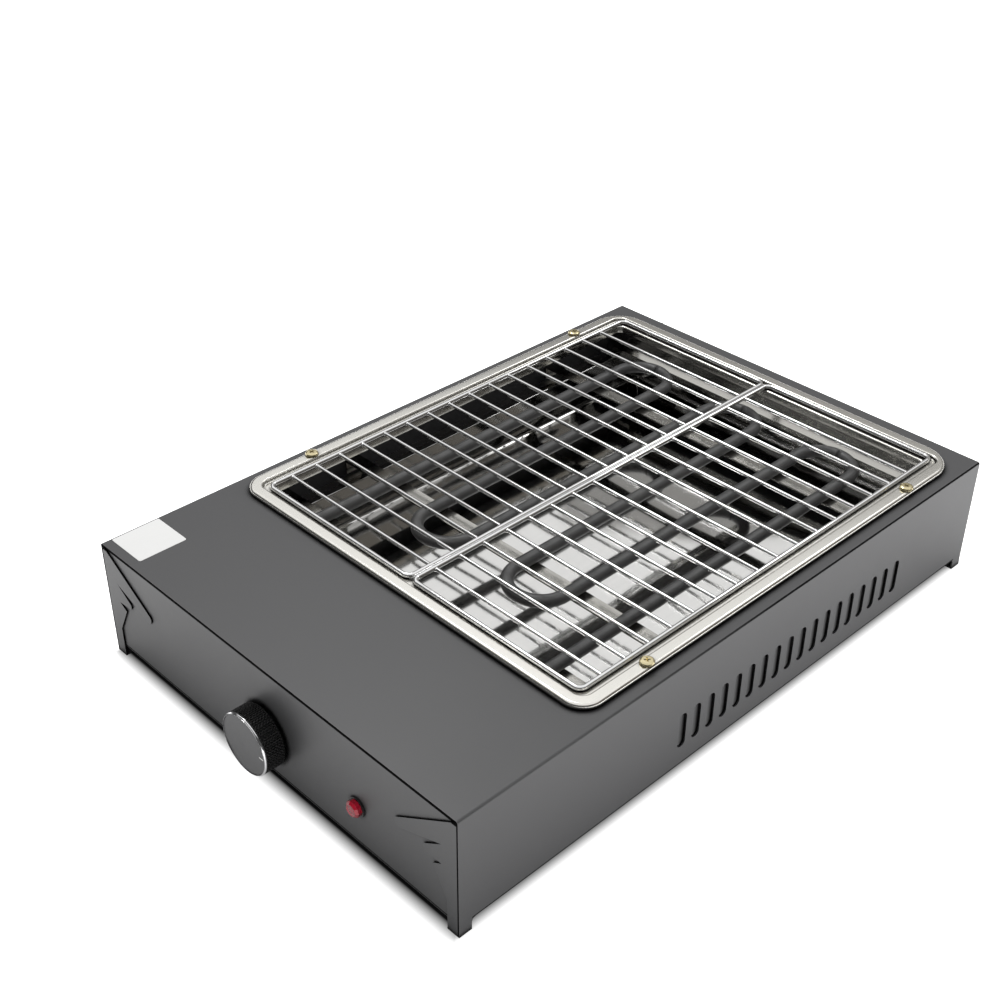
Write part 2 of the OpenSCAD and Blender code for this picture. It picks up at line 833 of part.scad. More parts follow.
module right_tray_rail() {
    color("#9a9a98") right_rail_solid();
}

module left_tray_rail() {
    color("#9a9a98") mirror([1, 0, 0]) right_rail_solid();
}

// The tray's plan: round corners at the front, square at the back
module tray_plan(x, y0, y1, r) {
    translate([-x + r, y0]) square([2 * (x - r), y1 - y0]);
    translate([-x, y0 + r]) square([2 * x, y1 - y0 - r]);
    for (s = [-1, 1]) translate([s * (x - r), y0 + r]) circle(r);
}

module tray_solid(x, y0, y1, r, z0, z1) {
    translate([0, 0, z0]) linear_extrude(z1 - z0) tray_plan(x, y0, y1, r);
}

module drip_tray() {
    t = tray_t;
    color("#d4d4d2") difference() {
        union() {
            tray_solid(tray_x, tray_y0, tray_y1, tray_r, tray_z0, tray_rim_z);
            tray_solid(rim_x, tray_y0 - rim_w + 2, panel_in_y - seam, tray_r + rim_w,
                tray_rim_z - t, tray_rim_z);
        }
        tray_solid(tray_x - t, tray_y0 + t, tray_y1 - t, tray_r - t, tray_z0 + t, tray_rim_z + 1);
    }
}

module tray_end_plate() {
    color("#5a5a5c") block([-end_x, tray_y1, end_z0], [end_x, tray_y1 + sheet, end_z1]);
}

module tray_pull() {
    y0 = tray_y1 + sheet;
    y1 = half_d + pull_reach;
    w = pull_w / 2;
    color("#c9c9c7") {
        block([-w, y0, pull_z - pull_root], [w, y0 + pull_t, pull_z]);
        block([-w, y0, pull_z - pull_t], [w, y1, pull_z]);
        block([-w, y1 - pull_t, pull_z - pull_lip], [w, y1, pull_z]);
    }
}

// ---- heating element ----

function run_x(i) = (i - (run_count - 1) / 2) * run_pitch;

module heating_element() {
    color("#3b3b3d") {
        for (i = [0 : run_count - 1]) {
            outer = i == 0 || i == run_count - 1;
            rod_y(run_x(i), tube_z, tube_r, outer ? tube_end_y : run_y0, run_y1);
        }
        for (i = [0 : 2 : run_count - 2])
            bend([run_x(i) + bend_r, run_y1, tube_z], bend_r, tube_r, 0, 180);
        for (i = [1 : 2 : run_count - 3])
            bend([run_x(i) + bend_r, run_y0, tube_z], bend_r, tube_r, 180, 180);
        for (s = [-1, 1]) {
            rod_y(s * end_run_x, tube_z, collar_r, collar_y0, firewall_y + 2);
            rod_y(s * end_run_x, tube_z, collar_flange_r, firewall_y, firewall_y + collar_flange_t);
        }
    }
}

module element_supports() {
    x = shield_x;
    color("#bdbdbb") for (y = support_ys) {
        block([-x, y - support_w / 2, support_z - strip_t], [x, y + support_w / 2, support_z]);
        for (s = [-1, 1]) block([s > 0 ? x - strip_t : -x, y - support_w / 2, support_z - support_tab],
            [s > 0 ? x : -x + strip_t, y + support_w / 2, support_z]);
    }
}

module element_brackets() {
    x = shield_x;
    color("#bdbdbb") both_sides() {
        block([end_run_x - tube_r - bracket_lap, bracket_y - support_w / 2, support_z - strip_t],
            [x, bracket_y + support_w / 2, support_z]);
        block([x - strip_t, bracket_y - support_w / 2, support_z - support_tab],
            [x, bracket_y + support_w / 2, support_z]);
    }
}

module element_nuts() {
    color("#b08d3c") for (s = [-1, 1])
        hex_nut_y(s * end_run_x, tube_z, collar_d + nut_step, collar_r + screw_play / 2,
            firewall_in_y - nut_t, firewall_in_y);
}

module element_insulators() {
    color("#ece7da") for (s = [-1, 1]) difference() {
        rod_y(s * end_run_x, tube_z, insulator_r, tube_end_y - insulator_l, tube_end_y);
        rod_y(s * end_run_x, tube_z, pin_r, tube_end_y - insulator_l - 1, tube_end_y + 1);
    }
}

module element_pins() {
    color("#b5b5b5") for (s = [-1, 1])
        rod_y(s * end_run_x, tube_z, pin_r, tube_end_y - insulator_l - pin_l, tube_end_y);
}

// ---- control, knob and lamp ----

module power_regulator() {
    x = regulator_w / 2;
    z = regulator_h / 2;
    color("#e5e0d0") difference() {
        union() {
            block([-x, -panel_in_y, control_z - z], [x, regulator_y1, control_z + z]);
            rod_y(0, control_z, bush_r, bush_front_y, -panel_in_y + eps);
        }
        rod_y(0, control_z, shaft_r + shaft_play, bush_front_y - 1, shaft_tail_y + 1);
    }
}

module regulator_blades() {
    color("#c9a951") for (s = [-1, 1], z = [control_z - blade_rise, blade_z])
        block([s * blade_x - blade_t / 2, regulator_y1, z - blade_w / 2],
            [s * blade_x + blade_t / 2, regulator_y1 + blade_l, z + blade_w / 2]);
}

module control_shaft() {
    color("#bfbfbf") difference() {
        rod_y(0, control_z, shaft_r, shaft_tip_y, shaft_tail_y);
        block([-shaft_r - 1, shaft_tip_y - 1, control_z + shaft_flat],
            [shaft_r + 1, bush_front_y - 1, control_z + shaft_r + 1]);
    }
}

module bush_nut() {
    color("#b5b5b5")
        hex_nut_y(0, control_z, bush_nut_af, bush_r + screw_play / 2, -panel_y - bush_nut_t, -panel_y);
}

module knob_body() {
    hub_back_y = bush_front_y - 1;
    cavity_front_y = body_front_y + 4;
    color("#1f1f21") difference() {
        rod_y(0, control_z, knob_r, body_front_y, knob_back_y);
        difference() {
            rod_y(0, control_z, knob_r - knob_wall, cavity_front_y, knob_back_y + 1);
            rod_y(0, control_z, hub_r, cavity_front_y - 1, hub_back_y);
        }
        difference() {
            rod_y(0, control_z, shaft_r + shaft_play, shaft_tip_y - 0.2, hub_back_y + 1);
            block([-shaft_r - 1, shaft_tip_y - 1, control_z + shaft_flat + shaft_play],
                [shaft_r + 1, hub_back_y + 2, control_z + shaft_r + 1]);
        }
    }
}

module knob_ring() {
    color("#dcdcdc") difference() {
        union() {
            rod_y(0, control_z, knob_r, knob_front_y + ring_chamfer, body_front_y);
            translate([0, knob_front_y + ring_chamfer + eps, control_z]) rotate([90, 0, 0])
                cylinder(r1 = knob_r, r2 = knob_r - ring_chamfer, h = ring_chamfer + eps);
        }
        rod_y(0, control_z, knob_r - ring_w, knob_front_y - 1, body_front_y + 1);
    }
}

// The face disc has a short cut as its pointer, at three o'clock
module knob_face() {
    y0 = body_front_y - face_t;
    r = knob_r - ring_w;
    color("#4a4a4c") difference() {
        rod_y(0, control_z, r, y0, body_front_y);
        block([r - 1 - pointer_l, y0 - 1, control_z - pointer_w / 2],
            [r - 1, y0 + pointer_cut, control_z + pointer_w / 2]);
    }
}

module lamp_lens() {
    y1 = -panel_y - 1;
    side_h = lens_h * 0.7;
    color("#b01824") translate([lamp_x, y1, control_z]) rotate([90, 0, 0]) {
        cylinder(r = lens_d / 2, h = side_h, $fn = 10);
        translate([0, 0, side_h - eps])
            cylinder(r1 = lens_d / 2, r2 = lens_d / 2 - 1.5, h = lens_h - side_h, $fn = 10);
    }
}

module lamp_body() {
    color("#2a2a2b") {
        rod_y(lamp_x, control_z, lamp_r, -panel_y - eps, lamp_tail_y);
        rod_y(lamp_x, control_z, lamp_flange_r, -panel_y - 1, -panel_y);
    }
}

module lamp_nut() {
    color("#dddddb") difference() {
        rod_y(lamp_x, control_z, lamp_r + 2.5, -panel_in_y, -panel_in_y + lamp_nut_t);
        rod_y(lamp_x, control_z, lamp_r + screw_play, -panel_in_y - 1, -panel_in_y + lamp_nut_t + 1);
    }
}

// ---- electrical parts ----

module cutout_bracket() {
    y1 = firewall_in_y;
    color("#b5b5b5") difference() {
        block([cutout_x - bracket_w / 2, y1 - bracket_t, cutout_z - bracket_h / 2],
            [cutout_x + bracket_w / 2, y1, cutout_z + bracket_h / 2]);
        rod_y(cutout_x, cutout_z, cutout_r / 2, y1 - 2, y1 + 1);
    }
}

module thermal_cutout() {
    y1 = firewall_in_y - bracket_t;
    color("#3a2c28") {
        rod_y(cutout_x, cutout_z, cutout_r, y1 - cutout_l, y1);
        for (s = [-1, 1])
            block([cutout_x + (s * tab_pitch - tab_t) / 2, y1 - cutout_l - tab_l, cutout_z - tab_w / 2],
                [cutout_x + (s * tab_pitch + tab_t) / 2, y1 - cutout_l + eps, cutout_z + tab_w / 2]);
    }
}

function way_x(i) = block_x + (i - (block_ways - 1) / 2) * block_pitch;

module terminal_block() {
    z1 = floor_top_z + block_h;
    color("#e8e4d6") difference() {
        block([block_x - block_w / 2, block_y - block_d / 2, floor_top_z],
            [block_x + block_w / 2, block_y + block_d / 2, z1]);
        for (i = [0 : block_ways - 1]) {
            translate([way_x(i), block_y, z1 - way_depth]) cylinder(r = way_r, h = way_depth + 1);
            for (s = [0, 1]) mirror([0, s, 0]) translate([0, (1 - 2 * s) * block_y, 0])
                rod_y(way_x(i), floor_top_z + block_h / 2, lead_r + seam, way_wall, block_d / 2 + 1);
        }
    }
}

module terminal_screws() {
    z1 = floor_top_z + block_h;
    color("#c9a951") for (i = [0 : block_ways - 1])
        translate([way_x(i), block_y, z1 - way_depth]) cylinder(r = clamp_r, h = clamp_l);
}

module earth_stud() {
    color("#c9a951") translate([earth_x, block_y, floor_top_z]) {
        cylinder(r = earth_r, h = earth_h);
        cylinder(r = washer_r, h = washer_t);
    }
}

module earth_nut() {
    color("#b5b5b5") translate([earth_x, block_y, floor_top_z + washer_t]) difference() {
        cylinder(r = washer_r, h = earth_nut_t, $fn = 6);
        translate([0, 0, -1]) cylinder(r = earth_r + screw_play / 2, h = earth_nut_t + 2);
    }
}

module cord_gland() {
    y0 = panel_in_y - gland_inner;
    color("#1d1d1e") difference() {
        union() {
            rod_y(-gland_x, gland_z, gland_r, y0, panel_y + eps);
            rod_y(-gland_x, gland_z, gland_flange_r, panel_y, panel_y + gland_flange_t);
            translate([-gland_x, panel_y + gland_flange_t - eps, gland_z]) rotate([-90, 0, 0])
                cylinder(r1 = gland_r, r2 = gland_r - 1.2, h = gland_nose);
        }
        rod_y(-gland_x, gland_z, gland_bore / 2, y0 - 1, half_d + gland_nose + gland_flange_t + 1);
    }
}

module gland_nut() {
    color("#2a2a2b") hex_nut_y(-gland_x, gland_z, gland_thread + 3, gland_r + screw_play / 2,
        panel_in_y - gland_nut_t, panel_in_y);
}

// The supply leads' heights, the lowest first
function supply_z(i) = gland_z + (i - 1) * supply_pitch;

// Three leads run from the splices by the gland down the left channel to the terminal block.
// The lowest turns down first and reaches furthest along the block, so none crosses another.
module supply_leads() {
    zb = floor_top_z + block_h / 2;
    yt = block_y + block_d / 2 - 4;
    color("#7d4a2c") for (i = [0 : 2]) {
        yr = block_y + block_d / 2 + 6 + (2 - i) * supply_pitch;
        x1 = way_x(2 - i);
        lead([
            [splice_x - splice_l, channel_y, supply_z(i)],
            [-channel_x, channel_y, supply_z(i)],
            [-channel_x, yr, supply_z(i)],
            [-channel_x, yr, zb],
            [x1, yr, zb],
            [x1, yt, zb]
        ]);
    }
}

// Crimped splices where the cord's cores would join the leads
module lead_splices() {
    color("#d9d2bd") for (i = [0 : 2])
        rod_x(channel_y, supply_z(i), splice_r, splice_x - splice_l, splice_x);
}

module element_leads() {
    y0 = regulator_y1 + blade_l;
    y1 = tube_end_y - insulator_l - pin_l;
    yr = y1 - lead_turn;
    color("#d8d2bf") both_sides() lead([
        [blade_x, y0, blade_z],
        [blade_x, yr, blade_z],
        [blade_x, yr, tube_z],
        [end_run_x, yr, tube_z],
        [end_run_x, y1, tube_z]
    ]);
}

module lamp_leads() {
    y0 = lamp_tail_y;
    y1 = y0 + lamp_lead_run;
    x1 = regulator_w / 2;
    color("#a02a2a") for (i = [0, 1]) {
        z = control_z + (i - 0.5) * lamp_lead_pitch;
        x = x1 + lamp_lead_gap - i * lamp_lead_run;
        z1 = z - lead_turn;
        lead([[lamp_x, y0, z], [lamp_x, y1, z], [x, y1, z], [x, y1, z1], [x1, y1, z1]]);
    }
}

body_shell();
front_panel();
back_panel();
base_plate();
trim_frame();
trim_screws();
firewall();
left_side_shield();
right_side_shield();
rear_shield();
left_tray_rail();
right_tray_rail();
drip_tray();
tray_end_plate();
tray_pull();
heating_element();
element_supports();
element_brackets();
element_nuts();
element_insulators();
element_pins();
power_regulator();
regulator_blades();
control_shaft();
bush_nut();
knob_body();
knob_ring();
knob_face();
lamp_lens();
lamp_body();
lamp_nut();
thermal_cutout();
cutout_bracket();
terminal_block();
terminal_screws();
earth_stud();
earth_nut();
cord_gland();
gland_nut();
supply_leads();
lead_splices();
element_leads();
lamp_leads();
base_screws();
back_screws();
blank_label();
rack_left();
rack_right();
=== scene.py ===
"""Dressed model of a countertop electric grill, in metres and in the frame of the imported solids."""
import math

import bmesh
import bpy
from mathutils import Matrix, Vector


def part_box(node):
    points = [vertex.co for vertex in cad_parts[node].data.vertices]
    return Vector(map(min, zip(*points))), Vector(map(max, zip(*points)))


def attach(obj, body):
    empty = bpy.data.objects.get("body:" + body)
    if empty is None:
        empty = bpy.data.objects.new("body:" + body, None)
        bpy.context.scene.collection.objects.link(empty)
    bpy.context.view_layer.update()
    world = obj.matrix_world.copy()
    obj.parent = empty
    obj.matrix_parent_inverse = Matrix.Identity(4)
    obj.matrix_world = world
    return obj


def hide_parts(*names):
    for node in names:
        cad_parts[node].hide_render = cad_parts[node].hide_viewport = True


bl_info = {
    "name": "Countertop Grill",
    "version": (1, 0, 0),
    "blender": (4, 5, 0),
    "location": "View3D > Sidebar > Grill",
    "description": "Builds the visible pieces and finishes of a countertop grill",
    "category": "Object",
}

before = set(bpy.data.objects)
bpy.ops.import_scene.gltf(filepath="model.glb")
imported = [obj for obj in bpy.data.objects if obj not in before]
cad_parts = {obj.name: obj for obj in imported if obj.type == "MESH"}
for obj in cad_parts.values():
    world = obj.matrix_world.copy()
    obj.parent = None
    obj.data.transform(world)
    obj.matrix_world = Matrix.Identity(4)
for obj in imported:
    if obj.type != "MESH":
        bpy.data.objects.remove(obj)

MM = 0.001
BODY_LOW, BODY_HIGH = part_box("body_shell")
TRIM_LOW, TRIM_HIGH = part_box("trim_frame")


# ---- meshes ----

def add_object(name, data):
    """A new object at the origin in the scene."""
    made = bpy.data.objects.new(name, data)
    bpy.context.scene.collection.objects.link(made)
    return made


def mesh_piece(name, verts, faces, material, smooth=True):
    """A new object with this mesh, its faces turned outwards."""
    mesh = bpy.data.meshes.new(name)
    mesh.from_pydata([tuple(v) for v in verts], [], faces)
    shell = bmesh.new()
    shell.from_mesh(mesh)
    bmesh.ops.remove_doubles(shell, verts=shell.verts, dist=1e-7)
    bmesh.ops.recalc_face_normals(shell, faces=shell.faces)
    shell.to_mesh(mesh)
    shell.free()
    for face in mesh.polygons:
        face.use_smooth = smooth
    mesh.materials.append(material)
    return add_object(name, mesh)


def crisp(piece):
    """Smooth shading that keeps wide flat faces flat."""
    weigh = piece.modifiers.new("flats", "WEIGHTED_NORMAL")
    weigh.keep_sharp = True
    weigh.weight = 100
    return piece


def finish(piece, body, slot, *nodes):
    """The piece rides on a body and stands for CAD nodes, which it hides; the slot is not used."""
    if nodes:
        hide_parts(*nodes)
    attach(piece, body)


def arc(cx, cy, r, start, end, steps):
    """Points of an arc in a section, angles in degrees."""
    turns = [math.radians(start + (end - start) * i / steps) for i in range(steps + 1)]
    return [(cx + r * math.cos(turn), cy + r * math.sin(turn)) for turn in turns]


def circle(cx, cz, r, y, steps):
    """A loop round an axis along Y."""
    return [Vector((x, y, z)) for x, z in arc(cx, cz, r, 0, 360, steps)[:-1]]


def loop_points(half, y0, y1, front_r, back_r, z, steps=10):
    """A rounded rectangle with its own front and back corner radii, at height z."""
    corners = [(half - front_r, y0 + front_r, front_r, -90), (half - back_r, y1 - back_r, back_r, 0),
               (-half + back_r, y1 - back_r, back_r, 90), (-half + front_r, y0 + front_r, front_r, 180)]
    points = []
    for cx, cy, r, start in corners:
        points += [Vector((x, y, z)) for x, y in arc(cx, cy, r, start, start + 90, steps)]
    return points


def skin(loops, close_ring=True):
    """Vertices and quads through loops of equal length. A ring closes on its first loop."""
    count = len(loops[0])
    faces = []
    for i in range(len(loops) if close_ring else len(loops) - 1):
        a, b = i * count, (i + 1) % len(loops) * count
        for j in range(count):
            k = (j + 1) % count
            faces.append((a + j, a + k, b + k, b + j))
    return [v for loop in loops for v in loop], faces


def capped(loops):
    """Vertices and faces through loops, with a face over the first and the last."""
    verts, faces = skin(loops, close_ring=False)
    count, total = len(loops[0]), len(verts)
    return verts, faces + [tuple(range(count))[::-1], tuple(range(total - count, total))]


def lathe(name, profile, centre, segments, body, slot, *nodes):
    """A finished piece: a closed section of (radius, y) turned round an axis along Y."""
    verts, faces = skin([circle(*centre, r, y, segments) for r, y in profile])
    finish(crisp(mesh_piece(name, verts, faces, finishes()[slot])), body, slot, *nodes)


# ---- node trees ----

def feed(socket, value):
    """Gives an input a constant or a node's output, or a joining input a list of them."""
    for one in value if isinstance(value, list) else [value]:
        if isinstance(one, Term):
            one = one.socket
        if isinstance(one, bpy.types.Node):
            one = one.outputs[0]
        if isinstance(one, bpy.types.NodeSocket):
            socket.id_data.links.new(one, socket)
        else:
            socket.default_value = one


def put(tree, kind, values=None, **settings):
    """A new node with its settings and with constants or outputs in its inputs."""
    made = tree.nodes.new(kind)
    for key, value in settings.items():
        setattr(made, key, value)
    for key, value in (values or {}).items():
        feed(made.inputs[key], value)
    return made


def sign(operation, swapped=False):
    """A method that joins a term and another number by one Math node."""
    def method(self, *others):
        made = self.socket.id_data.nodes.new("ShaderNodeMath")
        made.operation = operation
        for index, value in enumerate((*others, self) if swapped else (self, *others)):
            feed(made.inputs[index], value)
        return Term(made.outputs[0])
    return method


class Term:
    """A node's output used as a number: each sign or method below adds one Math node."""

    def __init__(self, socket):
        self.socket = socket

    __add__, __sub__, __rsub__ = sign("ADD"), sign("SUBTRACT"), sign("SUBTRACT", swapped=True)
    __mul__, __truediv__, __mod__ = sign("MULTIPLY"), sign("DIVIDE"), sign("MODULO")
    __lt__, __gt__, __abs__ = sign("LESS_THAN"), sign("GREATER_THAN"), sign("ABSOLUTE")
    most, least = sign("MAXIMUM"), sign("MINIMUM")
    floor, root, sine, bearing = sign("FLOOR"), sign("SQRT"), sign("SINE"), sign("ARCTAN2")


def get(node, name=0):
    """One of a node's outputs as a term."""
    return Term(node.outputs[name])


def group(tree, maker, values=None):
    """A shader group's node."""
    return put(tree, "ShaderNodeGroup", values, node_tree=maker())


def place(tree):
    """Each point's own place on the piece."""
    return put(tree, "ShaderNodeTexCoord").outputs["Object"]


def noise(tree, scale, vector=None, **values):
    """Noise at a scale, over the piece or over another vector."""
    values.update(Scale=scale, Vector=vector or place(tree))
    return get(put(tree, "ShaderNodeTexNoise", values))


def parts(vector):
    """The three numbers of a vector."""
    split = put(vector.id_data, "ShaderNodeSeparateXYZ", {0: vector})
    return [get(split, axis) for axis in "XYZ"]


def combine(tree, **values):
    """A vector made of numbers."""
    return put(tree, "ShaderNodeCombineXYZ", values)


def vector_math(tree, operation, first, second, result=0):
    """Two vectors joined by one node."""
    return put(tree, "ShaderNodeVectorMath", {0: first, 1: second}, operation=operation).outputs[result]


def ranged(value, low, high, start=0.0, stop=1.0):
    """A number carried from one range to another and kept inside it."""
    return get(put(value.socket.id_data, "ShaderNodeMapRange", {
        "Value": value, "From Min": low, "From Max": high, "To Min": start, "To Max": stop}))


def blend(tree, factor, first, second):
    """A colour between two, each a plain colour or another node's."""
    mix = put(tree, "ShaderNodeMix", {0: factor}, data_type="RGBA")
    for key, colour in ((6, first), (7, second)):
        feed(mix.inputs[key], (*colour, 1.0) if isinstance(colour, tuple) else colour)
    return mix.outputs[2]


def rays(tree):
    """Whether a ray comes from the camera, and whether it was mirrored or let through."""
    path = put(tree, "ShaderNodeLightPath")
    mirrored = get(path, "Is Glossy Ray") + get(path, "Is Transmission Ray")
    return get(path, "Is Camera Ray"), mirrored.least(1.0)


SOCKETS = {float: "NodeSocketFloat", int: "NodeSocketInt", tuple: "NodeSocketVector"}


def new_group(name, kind, inputs, outputs):
    """A node group, its inputs as terms and its end node. An input gives its default or its kind."""
    tree = bpy.data.node_groups.new(name, kind)
    for title, default in inputs.items():
        made = tree.interface.new_socket(
            title, in_out="INPUT", socket_type=SOCKETS.get(type(default), default))
        if not isinstance(default, str):
            made.default_value = default
    for title, socket in outputs.items():
        tree.interface.new_socket(title, in_out="OUTPUT", socket_type=socket)
    start = tree.nodes.new("NodeGroupInput")
    return tree, {title: get(start, title) for title in inputs}, tree.nodes.new("NodeGroupOutput")


def shared(name, inputs, *outputs):
    """Makes a function that fills a shader group into one that gives the group, made once."""
    def wrap(build):
        def maker():
            found = bpy.data.node_groups.get(name)
            if found:
                return found
            ends = dict.fromkeys(outputs, "NodeSocketFloat")
            tree, g, end = new_group(name, "ShaderNodeTree", inputs, ends)
            for title, value in zip(outputs, build(tree, g)):
                feed(end.inputs[title], value)
            return tree
        return maker
    return wrap


# ---- shader groups ----

@shared("fine_grain", {"Grain": 900.0, "Marks": 14.0, "Roughness": 0.4, "Spread": 0.06},
        "Tone", "Roughness", "Height")
def grain_group(tree, g):
    """Fine powder grain with broad soft marks."""
    fine = noise(tree, g["Grain"], Detail=2.0, Roughness=0.6)
    broad = noise(tree, g["Marks"], Detail=4.0, Roughness=0.55, Distortion=0.4)
    rough = g["Roughness"] + (broad - 0.5) * g["Spread"] * 2.0
    return broad * 0.7 + fine * 0.3, rough, fine


@shared("brushed_streaks", {
    "Stretch": (20.0, 900.0, 900.0), "Roughness": 0.2, "Spread": 0.08, "Smudges": 18.0,
}, "Tone", "Roughness", "Height")
def brush_group(tree, g):
    """Streaks along one axis of a rolled or brushed sheet, under soft smudges."""
    drawn = vector_math(tree, "MULTIPLY", place(tree), g["Stretch"])
    streak = noise(tree, 1.0, drawn, Detail=3.0, Roughness=0.65)
    smudge = noise(tree, g["Smudges"], Detail=3.0, Roughness=0.6, Distortion=0.8)
    tone = streak * 0.6 + smudge * 0.4
    rough = (g["Roughness"] + (tone - 0.5) * g["Spread"] * 2.0).most(0.02)
    return tone, rough, streak


@shared("edge_wear", {"Width": 0.0006, "Amount": 0.6}, "Mask")
def wear_group(tree, g):
    """Where an edge is rubbed: one on sharp edges, nothing on the flats, broken up by noise."""
    rounded = put(tree, "ShaderNodeBevel", {"Radius": g["Width"]}, samples=4)
    flat = put(tree, "ShaderNodeNewGeometry").outputs["Normal"]
    same = Term(vector_math(tree, "DOT_PRODUCT", rounded, flat, "Value"))
    broken = (1.0 - same) * 6.0 * (noise(tree, 160.0, Detail=4.0) + 0.2)
    return broken.most(0.0).least(1.0) * g["Amount"],


@shared("dark_edges_and_painted_shade", {
    "Front": -0.235, "Top": 0.083, "Side": 0.16, "Foot": 0.008, "Leg": 0.0092, "Sheet": 0.001,
}, "Mask")
def edge_shade_group(tree, g):
    """Dark raw edges of the powder-coated sheets, and painted shade at their seams, flanges, lower edges,
    folds and vanes, by their place and the way they face.
    """
    across, y, z = parts(place(tree))
    turn_x, turn_y, turn_z = parts(put(tree, "ShaderNodeNewGeometry").outputs["True Normal"])
    x, sideways, forward = abs(across), abs(turn_x), abs(turn_y)
    front, side, foot, sheet = g["Front"], g["Side"], g["Foot"], g["Sheet"]
    under = g["Top"] - sheet * 3.7
    inner = side - sheet * 1.5
    # the top sheet's front edge over the front panel and the corners' outer edges, dark as raw sheet edges
    # and as painted shadow in the seam
    faces_front = (y < front + sheet * 1.3) * (forward > 0.5)
    seam = faces_front * (z > under)
    corner = faces_front * (x > side - sheet * 1.1)
    # the edges of the corner flanges, made dark: raw sheet edges and painted shadow of the gap under each
    # flange
    flange = (y < front + sheet * 0.98) * (forward < 0.5) * (x < inner) * (z < under)
    # painted contact shadow along the lower edges of the panels between the legs
    low = (z < foot + sheet * 0.9) * (z > foot - sheet * 0.2)
    low_front = low * (forward > 0.5) * (x < side - g["Leg"])
    low_side = low * (sideways > 0.5) * (abs(y) + front < g["Leg"] * -1.0)
    # painted shade on the folds along the sides, which darken towards the back
    fold = (sideways * turn_z > 0.4) * (x > inner) * ranged(y, -0.16, 0.02, 0.0, 0.85)
    # painted shade on the louvres' vanes, darker where they are sunk deeper
    vane = ranged(side - x, 0.0002, 0.0016, 0.0, 0.75) * (sideways > 0.9) * (turn_x * across > 0.0)
    mask = seam.most(corner)
    for other in (vane, flange, low_front * 0.9, low_side * 0.8, fold):
        mask = mask.most(other)
    return mask,


@shared("crevices", {"Reach": 0.003, "Gain": 2.2, "Start": 0.08}, "Mask")
def crevice_group(tree, g):
    """Shade in the narrow gaps beside and under other parts."""
    open_share = get(put(tree, "ShaderNodeAmbientOcclusion", {"Distance": g["Reach"]}, samples=6), "AO")
    return ((1.0 - open_share - g["Start"]) * g["Gain"]).most(0.0).least(1.0),


@shared("diamond_knurl", {"Centre": (0.0, 0.0, 0.035), "Ridges": 60.0, "Pitch": 0.0021}, "Height")
def knurl_group(tree, g):
    """Diamond knurling round an axis along Y: two crossing sets of slanted ridges."""
    x, y, z = parts(vector_math(tree, "SUBTRACT", place(tree), g["Centre"]))
    turn = z.bearing(x) * g["Ridges"]
    rise = y * math.tau / g["Pitch"]
    return abs(((turn + rise) * 0.5).sine()) * abs(((turn - rise) * 0.5).sine()),


@shared("turned_rings", {"Centre Z": 0.035, "Spacing": 0.0004}, "Height", "Tone")
def ring_group(tree, g):
    """Fine turned rings round an axis along Y."""
    x, _, z = parts(place(tree))
    down = z - g["Centre Z"]
    radius = (x * x + down * down).root()
    return ((radius * math.tau / g["Spacing"]).sine() * 0.5,
            noise(tree, 4000.0, combine(tree, X=radius), Detail=2.0))


# ---- materials ----

def shader(name, values=None):
    """A material with one Principled shader and its constant values."""
    material = bpy.data.materials.new(name)
    material.use_nodes = True
    surface = material.node_tree.nodes["Principled BSDF"]
    for key, value in (values or {}).items():
        surface.inputs[key].default_value = value
    return material, material.node_tree, surface


def dress(surface, colour, roughness, height=None, strength=0.0, distance=0.0):
    """Feeds a changing colour, roughness and height to a shader."""
    feed(surface.inputs["Base Color"], colour)
    feed(surface.inputs["Roughness"], roughness)
    if height:
        feed(surface.inputs["Normal"], put(surface.id_data, "ShaderNodeBump", {
            "Strength": strength, "Distance": distance, "Height": height}))


def shade(colour, factor):
    return tuple(c * factor for c in colour)


def painted(name, colour, roughness, cut=False):
    """Powder coat with fine grain and slightly rubbed edges and, when asked for, near-black raw sheet edges
    with painted shade in gaps, seams, folds, vanes and along the lower edges.
    """
    material, tree, surface = shader(name)
    fine = group(tree, grain_group, {"Roughness": roughness, "Spread": 0.05})
    base = blend(tree, fine, shade(colour, 0.93), shade(colour, 1.07))
    base = blend(tree, group(tree, wear_group), base, (0.16, 0.16, 0.165))
    rough = get(fine, "Roughness")
    if cut:
        # painted shade: near-black where other parts are close and where the edge mask marks seams, folds,
        # vanes and lower edges
        gaps = group(tree, crevice_group, {"Reach": 4.2 * MM, "Gain": 2.8})
        dark = get(group(tree, edge_shade_group)).most(gaps)
        base = blend(tree, dark, base, (0.004, 0.004, 0.004))
        rough = rough.most(dark)
        feed(surface.inputs["Metallic"], dark)
    dress(surface, base, rough, get(fine, "Height"), 0.12, 0.25 * MM)
    return material


def steel(name, colour, roughness, stretch, spread=0.08, strength=0.05, distance=0.1 * MM, reach=0.0):
    """Rolled or brushed sheet, its streaks scaled evenly or by axis, with painted shade in gaps within reach.
    """
    material, tree, surface = shader(name, {"Metallic": 1.0})
    if not isinstance(stretch, tuple):
        stretch = (stretch,) * 3
    streaks = group(tree, brush_group, {"Stretch": stretch, "Roughness": roughness, "Spread": spread})
    base = blend(tree, streaks, shade(colour, 0.94), shade(colour, 1.04))
    if reach:
        # painted shade: darker where other surfaces are within reach
        base = blend(tree, group(tree, crevice_group, {"Reach": reach}), base, (0.012, 0.011, 0.01))
    dress(surface, base, get(streaks, "Roughness"), get(streaks, "Height"), strength, distance)
    return material


